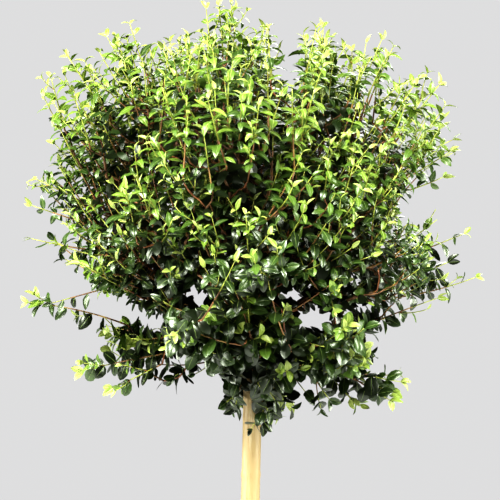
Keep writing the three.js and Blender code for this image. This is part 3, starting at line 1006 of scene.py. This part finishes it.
def axil_shoots(shoots):
    """Short side shoots from some axils: more and longer ones on the long shoots."""
    share, exists = pair_shares(shoots)
    places, ways = shoot_place(picked(shoots, (slice(None), None)), share)
    long = shoots["layer"][:, None] == 2
    bears = exists & (share < 0.82) & (share > 0.12) & (shoots["layer"][:, None] != 1)
    often = AXIL_SHARE * (1 + shoots["fresh"][:, None]) * np.where(long, 1.9, 1)
    bears &= grown.random(share.shape) < often
    s, k = np.nonzero(bears)
    n = len(s)
    foot, way = places[s, k], ways[s, k]
    phase = shoots["phase"][s] + k * math.pi / 2 + math.pi * (grown.random(n) < 0.5)
    side = across_way(way, phase)
    start = unit(way + 0.9 * side)
    end = unit(way + 0.5 * side + 0.3 * UP)
    length = grown.uniform(*AXIL_LENGTH, n) * np.where(long[s, 0], 1.7 - 0.8 * share[s, k], 1) * MM
    parent_fresh = shoots["fresh"][s]
    settled = 0.4 * grown.random(n) * shoots["high"][s]
    return {
        "foot": foot,
        "bend": foot + 0.5 * length[:, None] * start,
        "tip": foot + length[:, None] * unit(start + end),
        "high": shoots["high"][s],
        "fresh": np.where(parent_fresh > 0.1, grown.uniform(0.5, 1.0, n), settled),
        "leaf": shoots["leaf"][s] * grown.uniform(0.55, 0.78, n) * np.where(long[s, 0], 1.15, 1),
        "ratio": shoots["ratio"][s] * 0.94,
        "pairs": np.clip(np.round(length / AXIL_PAIR_STEP), 2, 6),
        "phase": grown.uniform(0, math.pi, n),
        "radius": np.full(n, AXIL_RADIUS),
        "shade": shoots["shade"][s],
        "layer": np.full(n, 3),
    }


main.update(habit_of_main_shoots())
shoots = together((main, axil_shoots(main)))


def make_shoots():
    green, brown = [], []
    for i in range(len(shoots["pairs"])):
        one = picked(shoots, i)
        reach = np.linalg.norm(one["tip"] - one["foot"])
        soft = np.clip((one["fresh"] * SOFT_GROWTH + LEAST_SOFT_GROWTH) / reach, 0.25, 0.85)
        steps = int(one["pairs"]) + 1
        for low, high, kind in ((0, 1 - soft, brown), (1 - soft, 1, green)):
            t = np.linspace(low, high, max(2, int(round(steps * (high - low))) + 1))
            line, _ = shoot_place(one, t)
            radii = one["radius"] + (SHOOT_TIP_RADIUS - one["radius"]) * t
            kind.append(closed_tube(line, radii, SHOOT_SIDES))
    sappy = grained("green_shoot_skin", SAPPY_SKIN, 0.45, (0.6, 160), (1600, 0.15, 0.1 * MM))
    hand_over(piece_of("green_shoots", *joined(green), sappy), mass_nodes)
    woody = grained("brown_shoot_skin", WOODY_SKIN, 0.55, (0.6, 160), (1600, 0.2, 0.1 * MM))
    hand_over(piece_of("brown_shoots", *joined(brown), woody), spray_nodes)


make_shoots()

# ------------------------------------------------------------------ leaves
# Small, firm, glossy and untoothed, with a short stalk, a pale midrib and a blade that folds
# up a little from it and curls back towards the tip. The midrib's pale strip is partly its own
# paler green and partly a painted highlight along the fold. They are soft, narrow and
# lime-green at the tips of fresh shoots, and turn broad and very dark as they grow old. Their
# tints are also painted lighter higher up the head, as painted light from above, and darker on
# the inner leaves and further back along the shoots, as painted shade.

# The tints run from the oldest leaves to the newest. The darker ones also serve as painted shade
# inside the head and low in it, and the lighter ones as painted light higher up.
TINTS = (  # from the oldest leaves to the newest: name, colour, roughness
    ("shade", linear(21, 30, 12), 0.33),
    ("dark", linear(37, 53, 21), 0.33),
    ("deep", linear(53, 75, 28), 0.34),
    ("leaf", linear(77, 103, 38), 0.36),
    ("grass", linear(92, 117, 40), 0.39),
    ("fresh", linear(105, 130, 46), 0.42),
    ("lime", linear(123, 143, 57), 0.45),
    ("tip", linear(142, 156, 78), 0.47),
)
LIGHT_TINTS_FROM = 4  # of the tints, counted from 0
CUTICLE = {"Specular_IOR_Level": 0.72, "Specular_Tint": (0.93, 1.0, 0.82, 1.0)}
MOST_TRIANGLES = 190_000
LEAF_LOST = 0.04  # share of the shoots' leaves that have dropped
TWIG_LEAF_STEP = 2  # old leaves stand at every second point of the thin wood
TWIG_LEAF_LENGTH = (12, 16)  # in millimetres
TWIG_LEAF_BELOW = 1.5 * MM  # the radius from which the wood is bare
LEAF_INTO_GAP = 4.5 * MM  # the most that the middle of a leaf may stand inside a gap
LARGE_BLADE = {"along": (0.0, 0.10, 0.26, 0.50, 0.74, 0.92, 1.0), "across": (-1, -0.5, 0, 0.5, 1)}
SMALL_BLADE = {"along": (0.0, 0.12, 0.36, 0.66, 0.90, 1.0), "across": (-1, 0, 1)}
LARGE_FROM = 9.5 * MM  # the length of an outer leaf from which its blade has more points
MIDRIB_ALONG = (0.0, 0.10, 0.26, 0.50, 0.74, 0.90)
MIDRIB_WIDTH = 0.62 * MM
MIDRIB_RISE = 0.12 * MM
# The strips' pale colours are partly the midrib's own paler green and partly a painted highlight
# along the fold.
MIDRIBS = (  # name, colour, the tints of the leaves that have it, slot
    ("midribs_old", linear(112, 132, 72), range(LIGHT_TINTS_FROM), "old_leaves"),
    ("midribs_young", linear(158, 172, 100), range(LIGHT_TINTS_FROM, len(TINTS)), "young_leaves"),
)


def all_alike(shapes, triangles):
    """Points and triangles of many shapes, shapes x points x 3, that are numbered alike."""
    first = shapes.shape[1] * np.arange(len(shapes))[:, None, None]
    return shapes.reshape(-1, 3), (triangles[None] + first).reshape(-1, 3)


def blade_triangles(blade):
    """A blade's triangles: its first and last point stand alone, with rows between them."""
    width, rows = len(blade["across"]), len(blade["along"]) - 2
    row = 1 + np.arange(rows)[:, None] * width + np.arange(width)
    last = 1 + rows * width
    faces = [(0, row[0, j + 1], row[0, j]) for j in range(width - 1)]
    for i in range(rows - 1):
        for j in range(width - 1):
            a, b, c, d = row[i, j], row[i, j + 1], row[i + 1, j + 1], row[i + 1, j]
            faces += [(a, b, c), (a, c, d)]
    faces += [(row[-1, j], row[-1, j + 1], last) for j in range(width - 1)]
    return np.array(faces)[:, ::-1]


def blade_width(along, leaves):
    """Half the blade's width there, as a share of half its greatest: nothing but the stalk at
    first, then an oval that is blunt on old leaves and drawn out on young ones."""
    oval = np.clip((along - 0.08) / 0.92, 0.0, 1.0) ** leaves["late"]
    return np.maximum(np.sin(math.pi * oval) ** leaves["blunt"], 0.07 * (along < 0.99))


def midrib_line(leaves, along):
    """How far ahead of its foot, and how far above it, each leaf's middle line runs, and the
    angle that it has bent by."""
    curl = np.maximum(leaves["curl"], 0.02)[:, None]
    bent = curl * np.array(along)[None] ** 1.3
    ahead = leaves["length"][:, None] * np.sin(bent) / curl
    return ahead, -leaves["length"][:, None] * (1 - np.cos(bent)) / curl, bent


def midrib_points(leaves):
    """leaves x points x 3 of a narrow strip in the fold of each blade."""
    side = np.cross(leaves["face"], leaves["way"])
    ahead, above, bent = midrib_line(leaves, MIDRIB_ALONG)
    points = []
    for i, share in enumerate(MIDRIB_ALONG):
        half = 0.5 * MIDRIB_WIDTH * (1 - 0.7 * share)
        x = (ahead[:, i] + MIDRIB_RISE * np.sin(bent[:, i]))[:, None]
        z = (above[:, i] + MIDRIB_RISE * np.cos(bent[:, i]))[:, None]
        middle = leaves["foot"] + x * leaves["way"] + z * leaves["face"]
        points += [middle - half * side, middle + half * side]
    return np.stack(points, axis=1)


def blade_points(blade, leaves):
    """leaves x points x 3, from each leaf's foot, way, face, length, width, curl and fold."""
    way, face = leaves["way"], leaves["face"]
    side = np.cross(face, way)
    ahead, above, bent = midrib_line(leaves, blade["along"])
    points = []
    last = len(blade["along"]) - 1
    for i, share in enumerate(blade["along"]):
        half = 0.5 * leaves["width"] * blade_width(share, leaves)
        for u in (0,) if i in (0, last) else blade["across"]:
            lift = half * (leaves["fold"] * abs(u) - 0.42 * u * u)
            lift = lift + half * 0.16 * abs(u) * np.sin(5.0 * i + leaves["wave"] + 2 * u)
            x = ahead[:, i] + lift * np.sin(bent[:, i])
            z = above[:, i] + lift * np.cos(bent[:, i])
            beside = (u * half)[:, None] * side
            points.append(leaves["foot"] + x[:, None] * way + beside + z[:, None] * face)
    return np.stack(points, axis=1)


def square_to(axis, ways):
    """The ways turned as little as it takes to stand square to the axis."""
    return unit(ways - (ways * axis).sum(1, keepdims=True) * axis)


def leaves_on_shoots():
    share, exists = pair_shares(shoots)
    places, ways = shoot_place(picked(shoots, (slice(None), None)), share)
    s, k = np.nonzero(exists)
    s, k = np.repeat(s, 2), np.repeat(k, 2)
    half_turn = np.tile((0.0, math.pi), len(s) // 2)
    kept = grown.random(len(s)) > LEAF_LOST
    s, k, half_turn = s[kept], k[kept], half_turn[kept]
    n = len(s)
    from_tip = shoots["pairs"][s] - 1 - k
    fresh, high = shoots["fresh"][s], shoots["high"][s]
    place, way = places[s, k], ways[s, k]
    flat = shoots["layer"][s] == 2
    both_sides = 0.5 * math.pi + 0.6 * (-1.0) ** k
    quarter = np.where(flat, both_sides, shoots["phase"][s] + k * math.pi / 2)
    beside = across_way(way, quarter + half_turn + grown.normal(0, 0.18, n))
    young = np.exp(-from_tip / (0.5 + 1.2 * fresh))
    opening = np.radians(64 - 36 * young + grown.normal(0, 10, n))
    axis = np.cos(opening)[:, None] * way + np.sin(opening)[:, None] * beside
    droop = (0.30 * (1 - young) * (1 - 0.6 * high) * grown.random(n))[:, None]
    axis = unit(axis - droop * UP)
    outward = unit(place - head_middle)
    light = unit((0.45 + 0.55 * high)[:, None] * UP + 0.7 * outward)
    light[flat] = unit(0.7 * UP + np.array((0, -1.0, 0)) + grown.normal(0, 0.6, (flat.sum(), 3)))
    turned = (0.22 + 0.5 * (1 - high)) * (1 - 0.5 * young) * grown.uniform(0.4, 1.3, n)
    turned = np.where(flat, 0.85, turned)[:, None]
    face = square_to(axis, square_to(axis, way) * (1 - turned) + light * turned)
    growing = 1 - 0.32 * np.exp(-from_tip / 0.8)
    settled = 1 - 0.28 * np.exp(-from_tip / 0.9)
    grow = np.where(fresh > 0.08, growing, settled)
    grow = grow * np.where(k == 0, 0.8, 1.0) * grown.uniform(0.84, 1.14, n)
    length = shoots["leaf"][s] * grow
    reach = np.linalg.norm(shoots["tip"][s] - shoots["foot"][s], axis=1)
    from_end = (1 - share[s, k]) * reach
    youth = np.where(fresh > 0.05, 1 - from_end / (fresh * SOFT_GROWTH + 1 * MM), 0)
    return {
        "foot": place,
        "way": axis,
        "face": face,
        "length": length,
        "width": length * shoots["ratio"][s] * (1 - 0.2 * young) * grown.uniform(0.9, 1.1, n),
        "curl": np.radians(np.clip(30 + 58 * high + grown.normal(0, 18, n) - 14 * young, 4, 120)),
        "fold": 0.42 + 0.35 * young + grown.normal(0, 0.08, n),
        "wave": grown.uniform(0, 6.28, n),
        "late": 1.10 - 0.22 * smoothstep(0.2, 0.8, high) - 0.08 * young,
        "blunt": 0.62 + 0.22 * smoothstep(0.2, 0.9, high) + 0.15 * young,
        "youth": np.clip(youth, 0, 1),
        # how far back from the shoot's end: older there, and tint_of also darkens it as painted
        # shade
        "age_and_shade": from_end / (60 * MM),
        "high": high,
        # 1 on the inner layer, whose leaves tint_of darkens as painted shade
        "depth": np.where(shoots["layer"][s] == 1, 1.0, 0.0),
        "shade": shoots["shade"][s],
    }


def leaves_on_wood():
    """Last year's leaves that still hold on the thinner twigs inside the head."""
    thin = np.arange(given_wood, len(wood))[::TWIG_LEAF_STEP]
    thin = thin[(wood_radius[thin] < TWIG_LEAF_BELOW) & (carried[thin] > 0)]
    thin = np.repeat(thin, 2)
    n = len(thin)
    place, way = wood[thin], wood_way[thin]
    phase = grown.uniform(0, math.pi, n // 2).repeat(2) + np.tile((0, math.pi), n // 2)
    beside = across_way(way, phase)
    axis = unit(0.35 * way + beside - 0.25 * UP * grown.random((n, 1)))
    light = unit(UP + 0.8 * unit(place - head_middle))
    length = grown.uniform(*TWIG_LEAF_LENGTH, n) * MM
    return {
        "foot": place,
        "way": axis,
        "face": square_to(axis, light),
        "length": length,
        "width": length * grown.uniform(0.55, 0.7, n),
        "curl": np.radians(grown.uniform(15, 50, n)),
        "fold": grown.uniform(0.3, 0.55, n),
        "wave": grown.uniform(0, 6.28, n),
        "late": np.full(n, 1.05),
        "blunt": np.full(n, 0.66),
        "youth": np.zeros(n),
        # these inner leaves are old, and tint_of darkens them further as painted shade
        "age_and_shade": np.ones(n),
        "high": height_share(place),
        "depth": np.ones(n),
        "shade": grown.normal(0, 0.4, n),
    }


def tint_of(leaves):
    """The tint of each leaf: how old it is, and for full-grown leaves painted light and shade:
    lighter higher up the head, darker on the inner leaves and further back from the shoot's tip.
    """
    n = len(leaves["youth"])
    high = leaves["high"]
    # lit is painted light higher up, and painted shade on inner leaves and far from the tip
    lit = 1.3 + 1.8 * high + 1.3 * smoothstep(0.5, 0.75, high) - 1.3 * smoothstep(0.8, 1, high)
    lit += leaves["shade"] - 2.4 * leaves["depth"] - 1.1 * leaves["age_and_shade"]
    newest = len(TINTS) - 1
    tint = lit + (newest + 0.3 - lit) * leaves["youth"] ** 1.7 + grown.normal(0, 0.4, n)
    return np.clip(np.floor(tint), 0, newest).astype(int)


def make_leaf_piece(name, parts, material):
    """One joined piece of whole leaves; their midribs are creases."""
    shapes, on_midrib = [], []
    for blade, some in parts:
        shapes.append(all_alike(some, blade_triangles(blade)))
        width, rows = len(blade["across"]), len(blade["along"]) - 2
        midrib = np.zeros(some.shape[1], bool)
        midrib[1 + np.arange(rows) * width + width // 2] = True
        on_midrib.append(np.tile(midrib, len(some)))
    piece = piece_of(name, *joined(shapes), material)
    ends = np.empty(2 * len(piece.data.edges), np.int32)
    piece.data.edges.foreach_get("vertices", ends)
    crease = np.concatenate(on_midrib)[ends.reshape(-1, 2)].all(1)
    sharp = piece.data.attributes.new("sharp_edge", "BOOLEAN", "EDGE")
    sharp.data.foreach_set("value", crease)
    hand_over(piece, [*mass_nodes, *spray_nodes])


def make_leaves():
    leaves = together((leaves_on_shoots(), leaves_on_wood()))
    middle = leaves["foot"] + 0.55 * leaves["length"][:, None] * leaves["way"]
    kept = ~in_open_sky(middle, grown.uniform(-LEAF_INTO_GAP, GAP_MARGIN, len(middle)))
    leaves = picked(leaves, kept)
    # The tints hold the leaves' age together with painted light and painted shade.
    tints = tint_of(leaves)
    large = (leaves["length"] > LARGE_FROM) & (leaves["depth"] == 0)
    for tint, (name, colour, roughness) in enumerate(TINTS):
        cuticle, shader = shader_of(f"leaf_{name}", colour, roughness, **CUTICLE)
        relief_on(cuticle, shader, 900, 2.0, 0.25, 0.1 * MM)
        parts = []
        for blade, chosen in ((LARGE_BLADE, large), (SMALL_BLADE, ~large)):
            some = picked(leaves, chosen & (tints == tint))
            parts.append((blade, blade_points(blade, some)))
        triangles = sum(len(blade_triangles(blade)) * len(some) for blade, some in parts)
        pieces = math.ceil(triangles / MOST_TRIANGLES)
        slot = "young_leaves" if tint >= LIGHT_TINTS_FROM else "old_leaves"
        for n in range(pieces):
            share = [(blade, some[n::pieces]) for blade, some in parts]
            make_leaf_piece(f"leaves_{name}_{n + 1}", share, cuticle)
    steps = 2 * np.arange(len(MIDRIB_ALONG) - 1)[:, None]
    strip = np.concatenate((steps + (0, 3, 1), steps + (0, 2, 3)))
    # Pale strips in the folds of the large leaves: midribs, and a painted highlight along the fold.
    for name, colour, tinted, slot in MIDRIBS:
        chosen = large & np.isin(tints, tinted)
        some = midrib_points(picked(leaves, chosen))
        rib, shader = shader_of(name, colour, 0.42)
        relief_on(rib, shader, 1500, 2.0, 0.2, 0.05 * MM)
        piece = piece_of(name, *all_alike(some, strip), rib)
        hand_over(piece, [*mass_nodes, *spray_nodes])


make_leaves()

# ------------------------------------------------------------------ pot
# A round nursery pot, moulded in one piece from dark grey plastic: a thin tapered wall, a
# thicker collar to lift it by, a low foot ring and six drain holes in its floor. The plastic
# is matt, a little dusty, and scuffed where pots have rubbed together.

POT_SIDES = 160
POT_WALL = 2.4 * MM
POT_FLOOR = 3 * MM
BAND_HEIGHT = 22 * MM
BAND_STANDS_OUT = 3.5 * MM
FOOT_RING = 7 * MM
FOOT_RING_DEPTH = 1 * MM
DRAIN_HOLES = 6
DRAIN_HOLE_RADIUS = 6 * MM
DRAIN_HOLE_SIDES = 24
DRAIN_CIRCLE_RADIUS = 58 * MM
SHARP_FROM = 34  # degrees: the pot's edges that turn by more show as sharp
POT_GREY, DUST_GREY = linear(40, 42, 43), linear(64, 65, 63)

pot_points, _ = node_shape("pot")
pot_reach = np.hypot(pot_points[:, 0], pot_points[:, 1])
POT_HEIGHT = pot_points[:, 2].max()
POT_RIM = pot_reach.max() - BAND_STANDS_OUT
POT_FOOT = pot_reach[pot_points[:, 2] < 2 * MM].max()


def pot_wall(height):
    """The outer radius of the tapered wall at a height."""
    return POT_FOOT + (POT_RIM - POT_FOOT) * height / POT_HEIGHT


def turned(profile, sides):
    """Points and triangles of a closed body turned round Z: its profile of radius and height
    starts and ends on the axis, and runs outwards below, upwards outside and inwards above."""
    profile = np.array(profile)
    turn = np.linspace(0, 2 * math.pi, sides, endpoint=False)
    radius, height = profile[1:-1, 0][:, None], profile[1:-1, 1][:, None] + 0 * turn
    rings = np.stack((radius * np.cos(turn), radius * np.sin(turn), height), axis=-1)
    ends = np.array(((0, 0, profile[0, 1]), (0, 0, profile[-1, 1])))
    points = np.concatenate((rings.reshape(-1, 3), ends))
    return points, tube_triangles(len(profile) - 2, sides)


def cut_out(piece, tools):
    """Cuts the tools' shapes out of the piece."""
    for tool in tools:
        cut = piece.modifiers.new("cut", "BOOLEAN")
        cut.operation = "DIFFERENCE"
        cut.solver = "EXACT"
        cut.object = tool
    seen_now = bpy.context.evaluated_depsgraph_get()
    finished = bpy.data.meshes.new_from_object(piece.evaluated_get(seen_now))
    piece.modifiers.clear()
    piece.data = finished
    for tool in tools:
        bpy.data.objects.remove(tool)


def make_pot():
    band_foot = POT_HEIGHT - BAND_HEIGHT
    band = POT_RIM + BAND_STANDS_OUT
    profile = [(0, FOOT_RING_DEPTH), (POT_FOOT - FOOT_RING - 1 * MM, FOOT_RING_DEPTH)]
    profile += [(POT_FOOT - FOOT_RING, 0.2 * MM), (POT_FOOT - FOOT_RING + 0.4 * MM, 0)]
    profile += [(POT_FOOT - 1.6 * MM, 0), (POT_FOOT - 0.4 * MM, 0.5 * MM)]
    profile += [(pot_wall(z), z) for z in np.linspace(1.6 * MM, band_foot - 0.8 * MM, 12)]
    profile += [(pot_wall(band_foot) + 0.5 * MM, band_foot), (band - 0.8 * MM, band_foot)]
    profile += [(band - 0.1 * MM, band_foot + 0.6 * MM), (band, band_foot + 1.4 * MM)]
    profile += [(band, POT_HEIGHT - 1.5 * MM), (band - 0.4 * MM, POT_HEIGHT - 0.5 * MM)]
    profile += [(band - 1.4 * MM, POT_HEIGHT), (POT_RIM - POT_WALL + 1 * MM, POT_HEIGHT)]
    profile += [(POT_RIM - POT_WALL + 0.2 * MM, POT_HEIGHT - 0.4 * MM)]
    down_inside = np.linspace(POT_HEIGHT - 1.4 * MM, POT_FLOOR + 4 * MM, 12)
    profile += [(pot_wall(z) - POT_WALL, z) for z in down_inside]
    profile += [(POT_FOOT - POT_WALL - 3 * MM, POT_FLOOR + 0.4 * MM), (0, POT_FLOOR)]
    plastic, shader = shader_of("pot_plastic", POT_GREY, 0.55)
    place = add_node(plastic, "ShaderNodeTexCoord")
    dust = add_node(plastic, "ShaderNodeTexNoise", Scale=26.0, Detail=6.0, Roughness=0.7)
    thin_dust = colour_ramp(plastic, (0.46, POT_GREY), (0.78, DUST_GREY))
    satin = add_node(plastic, "ShaderNodeMapRange", To_Min=0.42, To_Max=0.72)
    join(plastic, place, "Object", dust, "Vector")
    join(plastic, dust, "Fac", thin_dust, "Fac")
    join(plastic, thin_dust, "Color", shader, "Base Color")
    join(plastic, dust, "Fac", satin, "Value")
    join(plastic, satin, "Result", shader, "Roughness")
    relief_on(plastic, shader, 900, 2.0, 0.2, 0.08 * MM, (place, "Object"))
    pot = piece_of("nursery_pot", *turned(profile, POT_SIDES), plastic)
    drills = []
    for i in range(DRAIN_HOLES):
        angle = 2 * math.pi * i / DRAIN_HOLES
        x, y = DRAIN_CIRCLE_RADIUS * math.cos(angle), DRAIN_CIRCLE_RADIUS * math.sin(angle)
        line = np.array(((x, y, -5 * MM), (x, y, 10 * MM)))
        drill = closed_tube(line, (DRAIN_HOLE_RADIUS,) * 2, DRAIN_HOLE_SIDES)
        drills.append(piece_of(f"drill_{i + 1}", *drill, plastic))
    cut_out(pot, drills)
    pot.data.shade_smooth()
    pot.data.set_sharp_from_angle(angle=math.radians(SHARP_FROM))
    hand_over(pot, ["pot"])


make_pot()

# ------------------------------------------------------------------ compost
# Peat-free potting compost, pressed down lightly round the stem: dark brown fibre and crumbs,
# with chips of bark and a few white grains of perlite at the surface.

COMPOST_SIDES = 120
COMPOST_RINGS = 34
COMPOST_CLEARANCE = 0.65 * MM
BITS_FROM_STEM = 2 * MM
COMPOST_RISE = 1.3 * MM  # of its lumps
PEAT = linear(26, 18, 13), linear(44, 31, 22), linear(66, 48, 33)
COMPOST_BITS = (  # name, how many, smallest and largest half length, flatness, colour, roughness
    ("compost_crumbs", 2300, 0.7 * MM, 2.3 * MM, 0.75, linear(44, 31, 22), 0.95),
    ("compost_fibres", 900, 2.0 * MM, 5.0 * MM, 0.12, linear(74, 52, 34), 0.9),
    ("bark_chips", 210, 2.6 * MM, 6.0 * MM, 0.32, linear(96, 66, 42), 0.85),
    ("perlite_grains", 80, 0.9 * MM, 1.9 * MM, 0.85, linear(224, 222, 214), 0.8),
)
soil_points, _ = node_shape("soil")
SOIL_TOP = soil_points[:, 2].max()
soil_reach = np.hypot(soil_points[:, 0], soil_points[:, 1])
SOIL_LEVEL = soil_points[soil_reach > soil_reach.max() - 0.5 * MM, 2].max()


def compost_height(radius):
    """The compost's surface: a low crown at the stem, level at the wall."""
    share = np.clip(radius / soil_reach.max(), 0, 1)
    return SOIL_LEVEL + (SOIL_TOP - SOIL_LEVEL) * np.cos(0.5 * math.pi * share) ** 0.8


def make_compost(chance):
    radius = soil_reach.max() - 0.3 * MM
    outwards = np.linspace(radius, 0.04 * radius, COMPOST_RINGS)
    foot = POT_FOOT - POT_WALL - 3.6 * MM
    profile = [(0, POT_FLOOR + 0.8 * MM), (foot, POT_FLOOR + 0.8 * MM)]
    profile += [(pot_wall(z) - POT_WALL - COMPOST_CLEARANCE, z) for z in (12 * MM, 90 * MM)]
    profile += [(radius, SOIL_LEVEL - 3 * MM)]
    profile += [(r, compost_height(r)) for r in outwards] + [(0, SOIL_TOP)]
    points, triangles = turned(profile, COMPOST_SIDES)
    first_top = (len(profile) - 1 - COMPOST_RINGS - 1) * COMPOST_SIDES
    count = COMPOST_RINGS * COMPOST_SIDES
    lumps = smooth_noise(chance, COMPOST_RINGS, COMPOST_SIDES, 12, 50)
    lumps += 0.8 * smooth_noise(chance, COMPOST_RINGS, COMPOST_SIDES, 30, 118)
    lumps *= np.minimum(1, outwards / (0.3 * radius))[:, None]
    points[first_top:first_top + count, 2] += COMPOST_RISE * (lumps.ravel() - 0.9)
    points[-1, 2] -= COMPOST_RISE
    peat = grained("compost", PEAT, 0.95, (1.0, 420), (900, 0.7, 0.6 * MM))
    hand_over(piece_of("compost_body", points, triangles, peat), ["soil"])
    lump = np.array(((1, 0, 0), (-1, 0, 0), (0, 1, 0), (0, -1, 0), (0, 0, 1), (0, 0, -1)), float)
    facets = np.array(
        ((0, 2, 4), (2, 1, 4), (1, 3, 4), (3, 0, 4), (2, 0, 5), (1, 2, 5), (3, 1, 5), (0, 3, 5))
    )
    beside_stem = stem_radii[0] + BITS_FROM_STEM
    for name, many, least, most, flatness, colour, roughness in COMPOST_BITS:
        half = chance.uniform(least, most, (many, 1))
        away = np.sqrt(chance.uniform((beside_stem / radius) ** 2, 0.97, many)) * radius
        away = np.minimum(away, radius - half[:, 0])
        turn = chance.uniform(0, 2 * math.pi, many)
        across = half * np.sqrt(flatness) * chance.uniform(0.6, 1.1, (many, 1))
        thick = half * flatness * chance.uniform(0.7, 1.2, (many, 1))
        height = compost_height(away) - COMPOST_RISE + 0.35 * thick[:, 0]
        places = np.column_stack((away * np.cos(turn), away * np.sin(turn), height))
        heading, lean = chance.uniform(0, 2 * math.pi, many), chance.normal(0, 0.16, many)
        level = np.column_stack((np.cos(heading), np.sin(heading), 0 * heading))
        way = np.cos(lean)[:, None] * level + np.sin(lean)[:, None] * UP
        side_way = unit(np.cross(UP, way))
        up_way = np.cross(way, side_way)
        shape = lump[None] * chance.uniform(0.7, 1.25, (many, 6, 1))
        corners = (
            places[:, None]
            + shape[..., :1] * (half * way)[:, None]
            + shape[..., 1:2] * (across * side_way)[:, None]
            + shape[..., 2:] * (thick * up_way)[:, None]
        )
        darker = (*(0.55 * channel for channel in colour[:3]), 1.0)
        earth = grained(name, (darker, colour), roughness, (1.0, 600), (1800, 0.5, 0.15 * MM))
        bits = piece_of(name, *all_alike(corners, facets), earth, smooth=False)
        hand_over(bits, ["soil"])


make_compost(np.random.default_rng(13))
